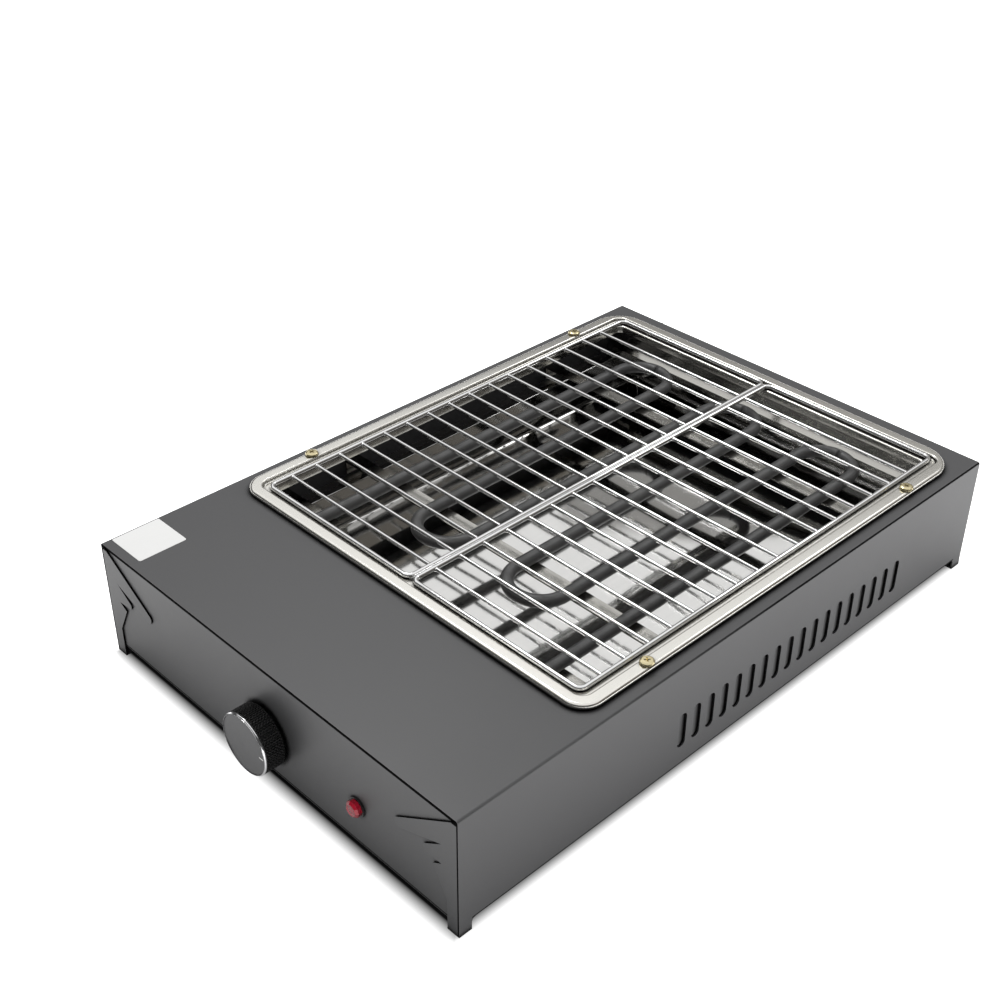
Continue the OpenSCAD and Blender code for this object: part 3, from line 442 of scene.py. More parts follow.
def polished_tray(name):
    """Bright rolled steel: streaks front to back, shallow waves and painted shade in its corners and close to
    other parts.
    """
    material, tree, surface = shader(name, {"Metallic": 1.0})
    streaks = group(tree, brush_group, {"Stretch": (500.0, 16.0, 500.0), "Roughness": 0.06, "Spread": 0.03})
    base = blend(tree, streaks, (0.64, 0.64, 0.63), (0.76, 0.755, 0.74))
    # painted shade: brownish dark where other surfaces are within 22 mm
    painted_shade = group(tree, crevice_group, {"Reach": 22 * MM, "Gain": 1.5, "Start": 0.16})
    base = blend(tree, painted_shade, base, (0.1, 0.092, 0.082))
    waves = noise(tree, 16.0, Detail=0.0, Roughness=0.4)
    dress(surface, base, get(streaks, "Roughness"), waves, 0.35, 2.2 * MM)
    return material


def sheathed(name):
    """Heated metal sheath: dark oxide with paler marks."""
    material, tree, surface = shader(name, {"Metallic": 0.4})
    fine = group(tree, grain_group, {"Grain": 700.0, "Marks": 22.0, "Roughness": 0.42, "Spread": 0.12})
    base = blend(tree, fine, (0.035, 0.036, 0.039), (0.13, 0.128, 0.124))
    dress(surface, base, get(fine, "Roughness"), get(fine, "Height"), 0.15, 0.2 * MM)
    return material


def knurled(name, colour, roughness):
    """Black moulded grip with diamond knurling, its grooves darker and its ridges lighter as painted shade
    and light.
    """
    material, tree, surface = shader(name)
    fine = group(tree, grain_group, {"Grain": 1800.0, "Roughness": roughness})
    ridges = get(group(tree, knurl_group))
    # painted shade and light: darker in the knurl's grooves, lighter on its ridges
    base = blend(tree, ridges, shade(colour, 0.4), shade(colour, 1.3))
    dress(surface, base, get(fine, "Roughness"), ridges, 0.9, 0.4 * MM)
    return material


def turned(name, colour, metallic, roughness, spacing, strength):
    """A turned face with fine rings round the control's axis."""
    material, tree, surface = shader(name, {"Metallic": metallic})
    rings = group(tree, ring_group, {"Spacing": spacing})
    tone = get(rings, "Tone")
    base = blend(tree, tone, shade(colour, 0.85), shade(colour, 1.15))
    dress(surface, base, tone * 0.1 + (roughness - 0.05), get(rings), strength, 0.03 * MM)
    return material


def moulded(name, colour, roughness, grain=1400.0, strength=0.1):
    """Moulded plastic or ceramic with a fine grain."""
    material, tree, surface = shader(name)
    fine = group(tree, grain_group, {"Grain": grain, "Roughness": roughness})
    base = blend(tree, fine, shade(colour, 0.92), shade(colour, 1.08))
    dress(surface, base, get(fine, "Roughness"), get(fine, "Height"), strength, 0.2 * MM)
    return material


def lens_red(name):
    """Deep red moulded lens with painted light: lighter where it faces the eye, darker where it turns away.
    """
    material, tree, surface = shader(name, {"Coat Weight": 0.12, "Coat Roughness": 0.08})
    edge = put(tree, "ShaderNodeLayerWeight", {"Blend": 0.5}).outputs["Facing"]
    base = blend(tree, edge, (0.62, 0.006, 0.035), (0.05, 0.001, 0.003))
    dress(surface, base, get(group(tree, grain_group, {"Roughness": 0.16}), "Roughness"))
    return material


FINISHES = {}


def finishes():
    """Every finish by its material slot, made once."""
    if FINISHES:
        return FINISHES
    grill = bpy.context.scene.grill_finish
    paint, matt = tuple(grill.paint), grill.paint_roughness
    FINISHES.update({
        "body_paint": painted("satin_charcoal", paint, matt, cut=True),
        "base_paint": painted("charcoal_base", shade(paint, 0.85), matt + 0.05),
        "dark_steel": painted("dark_shield", (0.016, 0.016, 0.017), 0.5),
        # the trim gets painted shade in gaps within 2.6 mm
        "trim_steel": steel("trim_satin_steel", tuple(grill.trim), 0.2, 600.0, 0.06, 0.04, reach=2.6 * MM),
        "brass_screw": steel("brass_screw", (0.66, 0.58, 0.36), 0.24, 900.0, 0.1),
        "well_steel": steel("well_bright_steel", (0.5, 0.49, 0.46), 0.17, (16.0, 700.0, 700.0), 0.1, 0.12,
                            0.3 * MM),
        "rail_steel": steel("rail_galvanised", (0.5, 0.5, 0.49), 0.34, 300.0, 0.12),
        "tray_steel": polished_tray("tray_bright_steel"),
        "pull_steel": steel("pull_steel", (0.42, 0.415, 0.41), 0.34, (20.0, 800.0, 800.0)),
        "element_sheath": sheathed("element_sheath"),
        "brass_fitting": steel("brass_fitting", (0.68, 0.52, 0.24), 0.3, 700.0, 0.1),
        "zinc": steel("zinc_plate", (0.62, 0.62, 0.63), 0.32, 500.0, 0.1),
        "rack_chrome": steel("rack_chrome", (0.82, 0.82, 0.82), 0.04, 400.0, 0.03, 0.02),
        "ceramic": moulded("white_ceramic", (0.78, 0.76, 0.7), 0.35),
        "phenolic": moulded("phenolic_brown", (0.06, 0.035, 0.028), 0.45),
        "black_plastic": moulded("black_plastic", (0.014, 0.014, 0.015), 0.45),
        "lamp_retainer": moulded("white_nylon", (0.76, 0.76, 0.74), 0.4),
        "lead_sleeve": moulded("woven_sleeve", (0.7, 0.68, 0.62), 0.7, 2600.0, 0.4),
        "label_white": moulded("label_white", (0.8, 0.8, 0.79), 0.45, 1600.0, 0.05),
        "white_mark": moulded("white_mark", (0.82, 0.82, 0.8), 0.4),
        "knob_black": knurled("knob_black", (0.009, 0.009, 0.009), 0.34),
        "knob_bright": turned("knob_bright", (0.72, 0.72, 0.73), 1.0, 0.16, 0.3 * MM, 0.1),
        "knob_grey": turned("knob_grey", (0.06, 0.06, 0.062), 0.5, 0.4, 0.4 * MM, 0.25),
        "lamp_red": lens_red("lamp_red"),
    })
    return FINISHES


# ---- geometry node helpers ----

def node_piece(name, mesh, tree, inputs, body, slot, *nodes):
    """Runs a geometry tree on a mesh and finishes the plain result as one piece."""
    source = add_object(name + "_source", mesh)
    run = source.modifiers.new("build", "NODES")
    run.node_group = tree
    given = {**inputs, "Material": finishes()[slot]}
    for item in tree.interface.items_tree:
        if item.in_out == "INPUT" and item.name in given:
            run[item.identifier] = given[item.name]
    graph = bpy.context.evaluated_depsgraph_get()
    plain = bpy.data.meshes.new_from_object(source.evaluated_get(graph))
    plain.name = name
    source.modifiers.remove(run)
    bpy.data.objects.remove(source)
    if len(plain.polygons) == 0:
        raise RuntimeError(f"{name}: the node tree made no faces")
    finish(add_object(name, plain), body, slot, *nodes)


def seed_mesh():
    """A single point for a tree that makes its own geometry."""
    mesh = bpy.data.meshes.new("seed")
    mesh.from_pydata([(0, 0, 0)], [], [])
    return mesh


def geometry_group(name, inputs):
    """A geometry group with these inputs between its geometry and its material."""
    ends = {"Geometry": "NodeSocketGeometry"}
    return new_group(name, "GeometryNodeTree", {**ends, **inputs, "Material": "NodeSocketMaterial"}, ends)


def close_tree(tree, g, end, geometry, smooth=True):
    """Realises, shades and paints the geometry, then sends it out."""
    real = put(tree, "GeometryNodeRealizeInstances", {"Geometry": geometry})
    shaded = put(tree, "GeometryNodeSetShadeSmooth", {"Geometry": real, "Shade Smooth": smooth})
    feed(end.inputs["Geometry"], put(tree, "GeometryNodeSetMaterial", {
        "Geometry": shaded, "Material": g["Material"]}))
    return tree


def join(tree, *pieces):
    return put(tree, "GeometryNodeJoinGeometry", {"Geometry": list(pieces)})


def moved(tree, geometry, **values):
    return put(tree, "GeometryNodeTransform", {"Geometry": geometry, **values})


def spread_on(tree, points, part, **values):
    """Copies of a part on points."""
    return put(tree, "GeometryNodeInstanceOnPoints", {"Points": points, "Instance": part, **values})


def mesh_line(tree, values):
    """Points in a row."""
    return put(tree, "GeometryNodeMeshLine", values, mode="OFFSET", count_mode="TOTAL")


def bent(tree, path, radius, steps):
    """A path with its corners rounded."""
    return put(tree, "GeometryNodeFilletCurve", {
        "Curve": path, "Radius": radius, "Count": steps}, mode="POLY")


def round_bar(tree, path, width, sides, capped_ends=True):
    """A round section swept along a path."""
    section = put(tree, "GeometryNodeCurvePrimitiveCircle", {"Resolution": sides, "Radius": width * 0.5},
                  mode="RADIUS")
    return put(tree, "GeometryNodeCurveToMesh", {
        "Curve": path, "Profile Curve": section, "Fill Caps": capped_ends})


def rack_tree():
    """One rack: a bent outer rod, equally spaced cross bars and a weld bead at each bar's end."""
    tree, g, end = geometry_group("rack", {
        "Width": 0.13, "Depth": 0.33, "Rod": 0.0032, "Bend": 0.005, "Centre": (0.0, 0.0, 0.0), "Bars": 16,
        "Bar": 0.0025, "First bar": 0.0178, "Last bar": 0.0264, "Bar drop": 0.0004, "Weld": 0.0021})
    outline = put(tree, "GeometryNodeCurvePrimitiveQuadrilateral", {
        "Width": g["Width"], "Height": g["Depth"]}, mode="RECTANGLE")
    rod = round_bar(tree, bent(tree, outline, g["Bend"], 8), g["Rod"], 18, False)
    step = (g["Depth"] - g["First bar"] - g["Last bar"]) / (g["Bars"] - 1.0)
    first = combine(tree, Y=g["First bar"] - g["Depth"] * 0.5, Z=g["Bar drop"] * -1.0)
    places = mesh_line(tree, {"Count": g["Bars"], "Start Location": first, "Offset": combine(tree, Y=step)})
    right_x = g["Width"] * 0.5
    left, right = combine(tree, X=right_x * -1.0), combine(tree, X=right_x)
    line = put(tree, "GeometryNodeCurvePrimitiveLine", {"Start": left, "End": right}, mode="POINTS")
    bars = spread_on(tree, places, round_bar(tree, line, g["Bar"], 14))
    # a bead at each bar's two ends, each a little different
    bead = put(tree, "GeometryNodeMeshIcoSphere", {"Radius": g["Weld"], "Subdivisions": 3})
    inset, sunk = 1.2 * MM, 0.2 * MM
    ends = [moved(tree, places, Translation=vector_math(tree, "ADD", side, (toward * inset, 0.0, -sunk)))
            for side, toward in ((left, 1.0), (right, -1.0))]
    size = put(tree, "FunctionNodeRandomValue", {
        "Min": (0.62, 0.86, 0.7), "Max": (0.86, 1.08, 0.8), "Seed": 7}, data_type="FLOAT_VECTOR")
    beads = spread_on(tree, join(tree, *ends), bead, Scale=size)
    return close_tree(tree, g, end, moved(tree, join(tree, rod, bars, beads), Translation=g["Centre"]))


def element_tree():
    """The element's tube: straight runs joined by half-round bends, its two ends running forward."""
    tree, g, end = geometry_group("element", {
        "Runs": 6, "Pitch": 0.0408, "Tube": 0.0085, "Front": -0.078, "Back": 0.19, "Terminal": -0.158,
        "Height": 0.072})
    count = g["Runs"] * 2.0
    index = get(put(tree, "GeometryNodeInputIndex"))
    x = ((index / 2.0).floor() - (g["Runs"] - 1.0) / 2.0) * g["Pitch"]
    at_back = (index + 3.0) % 4.0 < 1.5
    is_end = (index < 0.5) + (index > count - 1.5)
    front = g["Terminal"] * is_end + g["Front"] * (1.0 - is_end)
    y = g["Back"] * at_back + front * (1.0 - at_back)
    corners = put(tree, "GeometryNodeSetPosition", {
        "Geometry": mesh_line(tree, {"Count": count}), "Position": combine(tree, X=x, Y=y, Z=g["Height"])})
    path = bent(tree, put(tree, "GeometryNodeMeshToCurve", {"Mesh": corners}), g["Pitch"] * 0.4999, 12)
    return close_tree(tree, g, end, round_bar(tree, path, g["Tube"], 24))


def copies_tree():
    """Copies of one small part on a grid, each turned about its own axis by a fixed seed."""
    tree, g, end = geometry_group("copies", {
        "Across": 2, "Along": 2, "Width": 0.1, "Length": 0.1, "Centre": (0.0, 0.0, 0.0),
        "Tilt": (0.0, 0.0, 0.0), "Turn": 3.0})
    grid = put(tree, "GeometryNodeMeshGrid", {
        "Vertices X": g["Across"], "Vertices Y": g["Along"], "Size X": g["Width"], "Size Y": g["Length"]})
    spin = put(tree, "FunctionNodeRandomValue", {3: g["Turn"], "Seed": 11}, data_type="FLOAT")
    copies = spread_on(tree, grid, g["Geometry"], Rotation=combine(tree, Z=spin.outputs[1]))
    return close_tree(tree, g, end, moved(tree, copies, Rotation=g["Tilt"], Translation=g["Centre"]), False)


def ribs_tree():
    """Copies of one rib round a circle about the Y axis."""
    tree, g, end = geometry_group("ribs", {"Ribs": 96, "Centre": (0.0, 0.0, 0.0)})
    index = get(put(tree, "GeometryNodeInputIndex"))
    turn = combine(tree, Y=index * math.tau / g["Ribs"])
    places = mesh_line(tree, {"Count": g["Ribs"], "Offset": (0.0, 0.0, 0.0)})
    copies = spread_on(tree, places, g["Geometry"], Rotation=turn)
    return close_tree(tree, g, end, moved(tree, copies, Translation=g["Centre"]), False)


# ---- settings ----

class GrillFinishSettings(bpy.types.PropertyGroup):
    """Colours and gloss of the sheet parts."""
    paint: bpy.props.FloatVectorProperty(
        name="Paint", description="Base colour of the powder-coated body",
        default=(0.06, 0.06, 0.062), size=3, subtype="COLOR", min=0.0, max=1.0)
    paint_roughness: bpy.props.FloatProperty(
        name="Paint roughness", description="How matt the powder coat is",
        default=0.42, min=0.05, max=1.0, subtype="FACTOR")
    trim: bpy.props.FloatVectorProperty(
        name="Trim", description="Colour of the steel trim",
        default=(0.78, 0.765, 0.72), size=3, subtype="COLOR", min=0.0, max=1.0)


class GrillTrimSettings(bpy.types.PropertyGroup):
    """Section of the folded trim."""
    edge_radius: bpy.props.FloatProperty(
        name="Outer edge", description="Radius of the rolled outer edge",
        default=2.2 * MM, unit="LENGTH", min=0.5 * MM, max=3 * MM)
    bend_radius: bpy.props.FloatProperty(
        name="Inner bend", description="Outside radius of the bends towards the well",
        default=1.3 * MM, unit="LENGTH", min=0.9 * MM, max=2 * MM)
    sheet: bpy.props.FloatProperty(
        name="Sheet", description="Thickness of the trim's sheet",
        default=0.8 * MM, unit="LENGTH", min=0.5 * MM, max=1 * MM)


class GrillRackSettings(bpy.types.PropertyGroup):
    """Rods and bars of the two racks."""
    rod: bpy.props.FloatProperty(
        name="Rod", description="Diameter of the outer rod", default=3.2 * MM, unit="LENGTH")
    bar: bpy.props.FloatProperty(
        name="Bar", description="Diameter of the cross bars", default=2.5 * MM, unit="LENGTH")
    bars: bpy.props.IntProperty(name="Bars", description="Cross bars in each rack", default=16, min=2)
    weld: bpy.props.FloatProperty(
        name="Weld", description="Radius of the weld beads", default=1.9 * MM, unit="LENGTH")


class GrillControlSettings(bpy.types.PropertyGroup):
    """Knob and lamp."""
    ribs: bpy.props.IntProperty(name="Ribs", description="Grip ribs round the knob", default=90, min=12)
    rib_height: bpy.props.FloatProperty(
        name="Rib height", description="How far the ribs stand out", default=0.55 * MM, unit="LENGTH")
    pointer: bpy.props.FloatProperty(
        name="Pointer", description="Length of the white pointer", default=4 * MM, unit="LENGTH")


class GrillStageSettings(bpy.types.PropertyGroup):
    """Light and camera."""
    ambient: bpy.props.FloatProperty(
        name="Ambient", description="Strength of the even light", default=0.51, min=0.0, max=1.0)
    lens: bpy.props.FloatProperty(
        name="Lens", description="Focal length on a 36 mm sensor", default=53.924, min=20.0, max=200.0)


# ---- operators ----

class GRILL_OT_stage(bpy.types.Operator):
    """Floor, soft light, white surroundings and the camera"""
    bl_idname = "grill.stage"
    bl_label = "Stage"

    def execute(self, context):
        scene = context.scene
        settings = scene.grill_stage
        scene.view_settings.view_transform = "Standard"
        self.surroundings(scene, settings.ambient)
        self.floor()
        self.lamp("key_right", (0.95, 1.0, 0.45), (0.0, 0.05, 0.05), (1.1, 1.0), 12.8, seen=False)
        self.lamp("fill_top", (-0.85, 0.25, 1.25), (-0.1, 0.0, 0.0), (1.2, 1.2), 8.0, seen=False)
        self.lamp("strip_left", (-0.7, 0.25, 1.32), (0.0, 0.0, 0.08), (0.6, 0.26), 4.2)
        self.lamp("strip_back", (0.0, 1.15, 1.25), (0.0, 0.0, 0.08), (0.5, 0.26), 1.6)
        self.flag("flag_left", 43.0, 120.0, 29.0, (0.1, 0.1, 0.1))
        self.flag("flag_front", 120.0, 268.0, 46.0, (0.1, 0.1, 0.1))
        self.flag("flag_right", -92.0, -32.0, 45.0, (0.17, 0.158, 0.143))
        self.flag("flag_back", -32.0, 43.0, 34.5, (0.32, 0.315, 0.305))
        self.camera(scene, settings.lens)
        return {"FINISHED"}

    def surroundings(self, scene, ambient):
        """White to the eye and in reflections, and an even light from all round."""
        scene.world = bpy.data.worlds.new("white_surroundings")
        scene.world.use_nodes = True
        tree = scene.world.node_tree
        sky = tree.nodes["Background"]
        sky.inputs["Color"].default_value = (1.0, 1.0, 1.0, 1.0)
        camera, mirrored = rays(tree)
        feed(sky.inputs["Strength"], (camera + mirrored).least(1.0) * (1.0 - ambient) + ambient)

    def floor(self):
        """White past the body's outline, with a painted shadow: darker under the body and close to it."""
        material, tree, surface = shader("pale_floor", {"Specular IOR Level": 0.0})
        x, y, _ = parts(place(tree))
        front = abs(y) + BODY_LOW.y
        side = abs(x) - BODY_HIGH.x
        # the painted shadow is narrower along the sides than along the front
        shadow_fade = ranged(front.most(side * 1.1 + 3.6 * MM), -3.5 * MM, 7.5 * MM)
        wide = ranged(front.most(side), 2 * MM, 70 * MM, 0.1)
        camera, mirrored = rays(tree)
        # painted shadow: dark colour and no glow to the eye close to the body, and less glow in reflections
        # within 70 mm
        dress(surface, blend(tree, shadow_fade, (0.02, 0.02, 0.02), (0.9, 0.9, 0.9)), 0.9)
        feed(surface.inputs["Emission Strength"], camera * shadow_fade + mirrored * wide)
        corners = [(-6, -6, 0), (6, -6, 0), (6, 6, 0), (-6, 6, 0)]
        ground = mesh_piece("floor", corners, [(0, 1, 2, 3)], material)

    def flag(self, name, start, stop, high, tone):
        """A dark card round the set, seen only in reflections."""
        material = shader(name, {
            "Base Color": (0.0, 0.0, 0.0, 1.0), "Specular IOR Level": 0.0,
            "Emission Color": (*tone, 1.0), "Emission Strength": 1.0})[0]
        steps, far, low = 24, 3.0, 1.0
        turns = [start + (stop - start) * i / steps for i in range(steps + 1)]
        verts = [direction(turn, rise) * far for turn in turns for rise in (low, high)]
        faces = [(2 * i, 2 * i + 1, 2 * i + 3, 2 * i + 2) for i in range(steps)]
        card = mesh_piece(name, verts, faces, material)
        card.visible_camera = card.visible_diffuse = card.visible_shadow = False

    def lamp(self, name, spot, target, size, power, seen=True):
        light = bpy.data.lights.new(name, "AREA")
        light.shape = "RECTANGLE"
        light.size, light.size_y = size
        light.energy = power
        lamp = add_object(name, light)
        lamp.location = spot
        lamp.visible_glossy = seen
        lamp.rotation_euler = (Vector(target) - Vector(spot)).to_track_quat("-Z", "Y").to_euler()

    def camera(self, scene, lens):
        data = bpy.data.cameras.new("camera")
        data.sensor_width, data.lens = 36.0, lens
        data.clip_start, data.clip_end = 0.05, 50.0
        azimuth, elevation, roll, distance = 45.7831, 33.7856, 0.0069, 1.100768
        target = Vector((-0.114944, 0.059808, 0.0))
        back = direction(azimuth + 180.0, elevation)
        turned_back = back.to_track_quat("Z", "Y").to_matrix().to_4x4()
        camera = add_object("camera", data)
        camera.matrix_world = (Matrix.Translation(target + back * distance) @ turned_back
                               @ Matrix.Rotation(roll, 4, "Z"))
        scene.camera = camera


def direction(turn, rise):
    """A unit vector at an angle from +Y towards -X and at a height, both in degrees."""
    turn, rise = math.radians(turn), math.radians(rise)
    return Vector((-math.sin(turn) * math.cos(rise), math.cos(turn) * math.cos(rise), math.sin(rise)))


class GRILL_OT_nodes(bpy.types.Operator):
    """Finishes for the parts that keep their own solids"""
    bl_idname = "grill.nodes"
    bl_label = "Kept parts"

    def execute(self, context):
        made = finishes()
        for name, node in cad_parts.items():
            for holder in node.material_slots:
                slot = holder.material.name.split(".")[0] if holder.material else ""
                if slot not in made:
                    raise RuntimeError(f"{name} has no finish for {slot!r}")
                holder.material = made[slot]
        return {"FINISHED"}


class GRILL_OT_trim(bpy.types.Operator):
    """Folded steel trim with its rolled edge, recess and lip"""
    bl_idname = "grill.trim"
    bl_label = "Trim"

    def execute(self, context):
        settings = context.scene.grill_trim
        t, roll, bend = settings.sheet, settings.edge_radius, settings.bend_radius
        top, low, foot = TRIM_HIGH.z, TRIM_LOW.z, 83.35 * MM
        wall, lip, shelf, cove = 8.5 * MM, 15.0 * MM, top - 2.8 * MM, 1.1 * MM
        # the outer face, from the skirt's foot over the flange and down to the lip
        face = [(0.0, foot)]
        face += arc(roll, top - roll, roll, 180, 90, 8)
        face += arc(wall - bend, top - bend, bend, 90, 0, 6)
        face += arc(wall + cove, shelf + cove, cove, 180, 270, 5)
        face += arc(lip - bend, shelf - bend, bend, 90, 0, 6)
        face.append((lip, low))
        back = []
        for before, (e, z), after in zip(face[:1] + face, face, face[1:] + face[-1:]):
            along = (Vector(after) - Vector(before)).normalized()
            back.append((e + along.y * t, z - along.x * t))
        verts, faces = skin([self.row(e, z) for e, z in face + back[::-1]])
        piece = crisp(mesh_piece("trim_sheet", verts, faces, finishes()["trim_steel"]))
        finish(piece, "grill", "trim_steel", "trim_frame")
        return {"FINISHED"}

    def row(self, e, z):
        """The trim's loop drawn in by e, its corner radii eased from outer to inner."""
        steps = [0.0, 2.2, 7.2, 8.5, 9.6, 13.7, 15.0]
        inner = [8.3, 7.0, 5.9, 6.3, 5.0]
        k = max(0.0, min(e / MM, 15.0))
        i = max(j for j in range(len(steps) - 1) if steps[j] <= k)
        part = (k - steps[i]) / (steps[i + 1] - steps[i])
        front_r, rear_r = ((radii[i] + (radii[i + 1] - radii[i]) * part) * MM
                           for radii in ([15.0, 12.8, *inner], [23.0, 20.8, *inner]))
        return loop_points(TRIM_HIGH.x - e, TRIM_LOW.y + e, TRIM_HIGH.y - e, front_r, rear_r, z, 12)


class GRILL_OT_racks(bpy.types.Operator):
    """The two lift-off racks of bent rod and cross bars"""
    bl_idname = "grill.racks"
    bl_label = "Racks"

    def execute(self, context):
        settings = context.scene.grill_rack
        rod, tree = settings.rod, rack_tree()
        for side in ("left", "right"):
            low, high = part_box("rack_" + side)
            centre = (low + high) / 2
            node_piece(f"rack_{side}_wires", seed_mesh(), tree, {
                "Width": high.x - low.x - rod, "Depth": high.y - low.y - rod, "Rod": rod, "Bend": 5 * MM,
                "Centre": (centre.x, centre.y, high.z - rod / 2), "Bars": settings.bars, "Bar": settings.bar,
                "First bar": 17.8 * MM, "Last bar": 26.4 * MM, "Bar drop": 0.4 * MM, "Weld": settings.weld,
            }, side + "_rack", "rack_chrome", "rack_" + side)
        return {"FINISHED"}


class GRILL_OT_element(bpy.types.Operator):
    """The tubular element with its collars"""
    bl_idname = "grill.element"
    bl_label = "Element"

    def execute(self, context):
        low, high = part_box("heating_element")
        runs, pitch, tube = 6, 40.8 * MM, 8.5 * MM
        height = high.z - 9 * MM
        node_piece("element_tube", seed_mesh(), element_tree(), {
            "Runs": runs, "Pitch": pitch, "Tube": tube, "Front": -78.0 * MM, "Back": 190.0 * MM,
            "Terminal": low.y, "Height": height,
        }, "grill", "element_sheath", "heating_element")
        outer, broad, bore = 6 * MM, 9 * MM, tube / 2 - 0.05 * MM
        y0, y1, flange, ease = -148 * MM, -136 * MM, 3 * MM, 0.5 * MM
        step = y1 - flange
        ring = [(bore, y0), (outer - ease, y0), (outer, y0 + ease), (outer, step), (broad - ease, step),
                (broad, step + ease), (broad, y1 - ease), (broad - ease, y1), (bore, y1)]
        for side, toward in (("left", -1), ("right", 1)):
            end_x = toward * (runs - 1) / 2 * pitch
            lathe("element_collar_" + side, ring, (end_x, height), 48, "grill", "zinc")
        return {"FINISHED"}


class GRILL_OT_tray(bpy.types.Operator):
    """The bright drip tray with a rolled rim"""
    bl_idname = "grill.tray"
    bl_label = "Drip tray"

    def execute(self, context):
        (_, rim_y0, low), (rim_x, y1, top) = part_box("drip_tray")
        t, x, y0 = 0.8 * MM, 138 * MM, -129 * MM
        front, back, rim_r = 10 * MM, 1.2 * MM, 15 * MM

        def wall(inset, z, front_r=front, back_r=back):
            return loop_points(x - inset, y0 + inset, y1 - inset, front_r, back_r, z)

        def rim(inset, z):
            return loop_points(rim_x - inset, rim_y0 + inset, y1, rim_r - inset, back, z)

        rows = [wall(3 * MM, low, front - 3 * MM, 0.4 * MM), wall(MM, low + 0.3 * MM, front - MM, 0.6 * MM),
                wall(0.0, low + 2 * MM), wall(0.0, top - t),
                rim(0.4 * MM, top - t), rim(0.0, top - t / 2), rim(0.4 * MM, top),
                loop_points(x, y0, y1 - 0.2 * MM, front, back, top),
                wall(t, top - 0.6 * MM, front - t), wall(t, low + 4 * MM, front - t),
                wall(t + MM, low + 1.9 * MM, front - 2 * MM), wall(t + 3 * MM, low + t, front - 4 * MM)]
        # the tray's floor in nested loops, so that it keeps an even mesh
        for i in range(13):
            inset = t + 12 * MM + i * 9 * MM
            rows.append(wall(inset, low + t, max(front - inset, MM), MM))
        piece = crisp(mesh_piece("tray_sheet", *capped(rows), finishes()["tray_steel"]))
        finish(piece, "drip_drawer", "tray_steel", "drip_tray")
        return {"FINISHED"}


class GRILL_OT_knob(bpy.types.Operator):
    """The ribbed knob with its bright ring, turned face and white pointer"""
    bl_idname = "grill.knob"
    bl_label = "Knob"

    def execute(self, context):
        settings = context.scene.grill_control
        low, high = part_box("knob_body")
        centre = ((low.x + high.x) / 2, (low.z + high.z) / 2)
        r, front, back = (high.x - low.x) / 2, low.y, high.y
        inner = r - settings.rib_height
        skirt, hub, bore = r - 3 * MM, 6 * MM, 4 * MM
        shell = [(bore, front), (inner - 0.4 * MM, front), (inner, front + 0.4 * MM),
                 (inner, back - 0.6 * MM), (inner - 0.6 * MM, back), (skirt, back), (skirt, front + 4 * MM),
                 (hub, front + 4 * MM), (hub, back - 3 * MM), (bore + 0.5 * MM, back - 3 * MM),
                 (bore, back - 4 * MM)]
        lathe("knob_grip", shell, centre, 120, "knob", "knob_black", "knob_body")
        node_piece("knob_ribs", self.rib(r, inner, front, back, settings.ribs), ribs_tree(), {
            "Ribs": settings.ribs, "Centre": (centre[0], 0.0, centre[1])}, "knob", "knob_black")
        f0, f1 = (corner.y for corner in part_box("knob_ring"))
        face_r, bevel = r - 0.9 * MM, 0.8 * MM
        ring = [(face_r, f1), (face_r, f0 + 0.3 * MM), (face_r + 0.2 * MM, f0), (r - bevel, f0),
                (r - bevel * 0.45, f0 + bevel * 0.35), (r, f0 + bevel), (r, f1)]
        lathe("knob_bright_ring", ring, centre, 128, "knob", "knob_bright", "knob_ring")
        y0, y1 = (corner.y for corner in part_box("knob_face"))
        axis_r = 0.2 * MM
        disc = [(axis_r, y1), (axis_r, y0), (face_r * 0.35, y0), (face_r * 0.7, y0), (face_r - 0.3 * MM, y0),
                (face_r, y0 + 0.3 * MM), (face_r, y1)]
        lathe("knob_turned_face", disc, centre, 128, "knob", "knob_grey", "knob_face")
        # a short raised mark with round ends
        half = 0.45 * MM
        x1 = centre[0] + face_r - 1.2 * MM
        x0 = x1 - settings.pointer
        outline = arc(x1 - half, centre[1], half, -90, 90, 8) + arc(x0 + half, centre[1], half, 90, 270, 8)
        rows = [[Vector((x, y, z)) for x, z in outline] for y in (y0 - 0.1 * MM, y0 + 0.3 * MM)]
        mark = mesh_piece("knob_pointer", *capped(rows), finishes()["white_mark"], smooth=False)
        finish(mark, "knob", "label_white")
        return {"FINISHED"}

    def rib(self, r, inner, front, back, count):
        """One grip rib along the knob's axis."""
        half, root = math.pi * r / count * 0.72, inner - 0.2 * MM
        section = [(-half * 0.3, r), (half * 0.3, r), (half, root), (-half, root)]
        ends = (front + 0.8 * MM, back - 1.2 * MM)
        verts, faces = capped([[(x, y, z) for x, z in section] for y in ends])
        rib = bpy.data.meshes.new("rib")
        rib.from_pydata(verts, [], faces)
        return rib


class GRILL_OT_lamp(bpy.types.Operator):
    """The faceted red lamp lens"""
    bl_idname = "grill.lamp"
    bl_label = "Lamp"

    def execute(self, context):
        low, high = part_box("lamp_lens")
        middle = (low + high) / 2
        r, front, back, sides = (high.x - low.x) / 2, low.y, high.y, 10
        profile = [(r, back), (r, front + 1.4 * MM), (r - 1.1 * MM, front + 0.25 * MM), (r - 1.5 * MM, front),
                   (r - 2.9 * MM, front + 0.35 * MM), (0.8 * MM, front + 0.1 * MM)]
        rows = [circle(middle.x, middle.z, radius, y, sides) for radius, y in profile]
        lens = mesh_piece("lamp_faceted_lens", *capped(rows), finishes()["lamp_red"], smooth=False)
        soft = lens.modifiers.new("edges", "BEVEL")
        soft.width = 0.15 * MM
        soft.segments = 2
        finish(lens, "grill", "lamp_red", "lamp_lens")
        return {"FINISHED"}


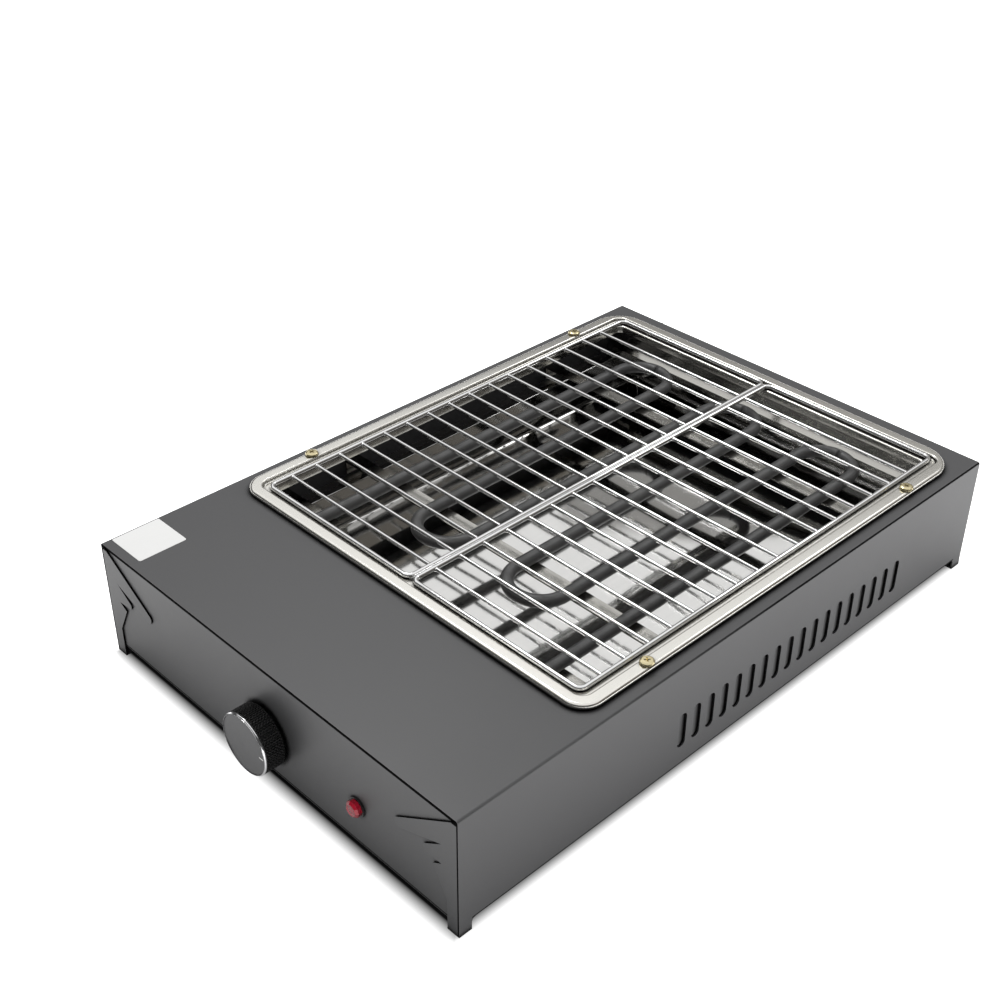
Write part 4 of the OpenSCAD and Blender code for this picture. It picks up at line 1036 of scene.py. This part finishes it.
def screw_mesh(name, head_r, head_h, shank_r, length):
    """A pan-head cross-recess screw standing on z = 0 with its shank below."""
    steps = 24
    profile = [(shank_r, -length), (shank_r, -0.3 * MM), (head_r, 0.0), (head_r, head_h * 0.45),
               (head_r * 0.93, head_h * 0.75), (head_r * 0.72, head_h * 0.97), (head_r * 0.5, head_h)]
    verts, faces = skin([[(x, y, z) for x, y in arc(0, 0, r, 0, 360, steps)[:-1]] for r, z in profile],
                        close_ring=False)
    shell = bmesh.new()
    made = [shell.verts.new(v) for v in verts]
    for face in faces + [tuple(range(steps))[::-1]]:
        shell.faces.new([made[i] for i in face])
    # the cross recess: a plus in the crown, sunk towards its middle
    crown = made[-steps:]
    w, reach = head_r * 0.11, head_r * 0.42
    plus = [(w, w), (w, reach), (-w, reach)]
    for i in range(9):
        plus.append((-plus[i][1], plus[i][0]))
    rim = [shell.verts.new((x, y, head_h)) for x, y in plus]
    sunk = [shell.verts.new((x * 0.62, y * 0.62, head_h * 0.25)) for x, y in plus]
    for i in range(len(plus)):
        j = (i + 1) % len(plus)
        shell.faces.new((rim[i], rim[j], sunk[j], sunk[i]))
    shell.faces.new(sunk)
    edges = [shell.edges.get(pair) for loop in (crown, rim) for pair in zip(loop, loop[1:] + loop[:1])]
    bmesh.ops.bridge_loops(shell, edges=edges)
    bmesh.ops.triangulate(shell, faces=[f for f in shell.faces if len(f.verts) > 4])
    bmesh.ops.recalc_face_normals(shell, faces=shell.faces)
    mesh = bpy.data.meshes.new(name)
    shell.to_mesh(mesh)
    shell.free()
    return mesh


class GRILL_OT_screws(bpy.types.Operator):
    """Cross-recess screws of the trim, the base and the back"""
    bl_idname = "grill.screws"
    bl_label = "Screws"

    def execute(self, context):
        tree = copies_tree()
        head = 6.8 * MM
        brass = screw_mesh("trim_screw", 4.4 * MM, 2.2 * MM, 2 * MM, 9 * MM)
        small = screw_mesh("small_screw", head / 2, 2 * MM, 1.75 * MM, 6.5 * MM)

        def rows(name, mesh, slot, across, along, centre, tilt, *nodes):
            """Screws on a grid given by its count and its span each way."""
            node_piece(name, mesh.copy(), tree, {
                "Across": across[0], "Along": along[0], "Width": across[1], "Length": along[1],
                "Centre": centre, "Tilt": (math.radians(tilt), 0.0, 0.0), "Turn": 3.0}, "grill", slot, *nodes)

        rows("trim_screw_heads", brass, "brass_screw", (2, 293.5 * MM), (2, 250 * MM),
             (0.0, 42 * MM, TRIM_HIGH.z), 0.0, "trim_screws")
        low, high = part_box("back_screws")
        rows("back_screw_heads", small, "zinc", (2, high.x - low.x - head), (3, high.z - low.z - head),
             (0.0, BODY_HIGH.y, (low.z + high.z) / 2), -90.0, "back_screws")
        low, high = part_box("base_screws")
        under = (0.0, 0.0, 7 * MM)
        rows("base_side_screws", small, "zinc", (2, high.x - low.x - head), (4, 360 * MM), under, 180.0,
             "base_screws")
        rows("base_end_screws", small, "zinc", (2, 160 * MM), (2, high.y - low.y - head), under, 180.0)
        return {"FINISHED"}


class GRILL_OT_label(bpy.types.Operator):
    """The blank label with rounded corners"""
    bl_idname = "grill.label"
    bl_label = "Label"

    def execute(self, context):
        low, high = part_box("blank_label")
        shift = Vector(((high.x + low.x) / 2, 0, 0))
        half, corner, ease = (high.x - low.x) / 2, 1.2 * MM, 0.05 * MM
        rows = []
        for inset, z in ((0.0, low.z), (0.0, high.z - ease), (ease, high.z)):
            r = corner - inset
            loop = loop_points(half - inset, low.y + inset, high.y - inset, r, r, z, 4)
            rows.append([p + shift for p in loop])
        piece = mesh_piece("blank_label_stock", *capped(rows), finishes()["label_white"], smooth=False)
        finish(piece, "grill", "label_white", "blank_label")
        return {"FINISHED"}


OPERATORS = (
    GRILL_OT_stage, GRILL_OT_nodes, GRILL_OT_trim, GRILL_OT_racks, GRILL_OT_element, GRILL_OT_tray,
    GRILL_OT_knob, GRILL_OT_lamp, GRILL_OT_screws, GRILL_OT_label,
)
GROUPS = {
    "grill_finish": GrillFinishSettings, "grill_trim": GrillTrimSettings, "grill_rack": GrillRackSettings,
    "grill_control": GrillControlSettings, "grill_stage": GrillStageSettings,
}


class GRILL_PT_panel(bpy.types.Panel):
    """Lists the grill's pieces"""
    bl_label = "Grill"
    bl_idname = "GRILL_PT_panel"
    bl_space_type = "VIEW_3D"
    bl_region_type = "UI"
    bl_category = "Grill"

    def draw(self, context):
        for name in GROUPS:
            box = self.layout.box()
            settings = getattr(context.scene, name)
            for key in settings.__annotations__:
                box.prop(settings, key)
        for made in OPERATORS:
            self.layout.operator(made.bl_idname)


CLASSES = (*GROUPS.values(), *OPERATORS, GRILL_PT_panel)


def register():
    for made in CLASSES:
        bpy.utils.register_class(made)
    for name, made in GROUPS.items():
        setattr(bpy.types.Scene, name, bpy.props.PointerProperty(type=made))


def unregister():
    for name in GROUPS:
        delattr(bpy.types.Scene, name)
    for made in reversed(CLASSES):
        bpy.utils.unregister_class(made)


def main():
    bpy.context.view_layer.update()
    register()
    bpy.ops.grill.stage()
    bpy.ops.grill.nodes()
    bpy.ops.grill.trim()
    bpy.ops.grill.racks()
    bpy.ops.grill.element()
    bpy.ops.grill.tray()
    bpy.ops.grill.knob()
    bpy.ops.grill.lamp()
    bpy.ops.grill.screws()
    bpy.ops.grill.label()


if __name__ == "__main__":
    main()
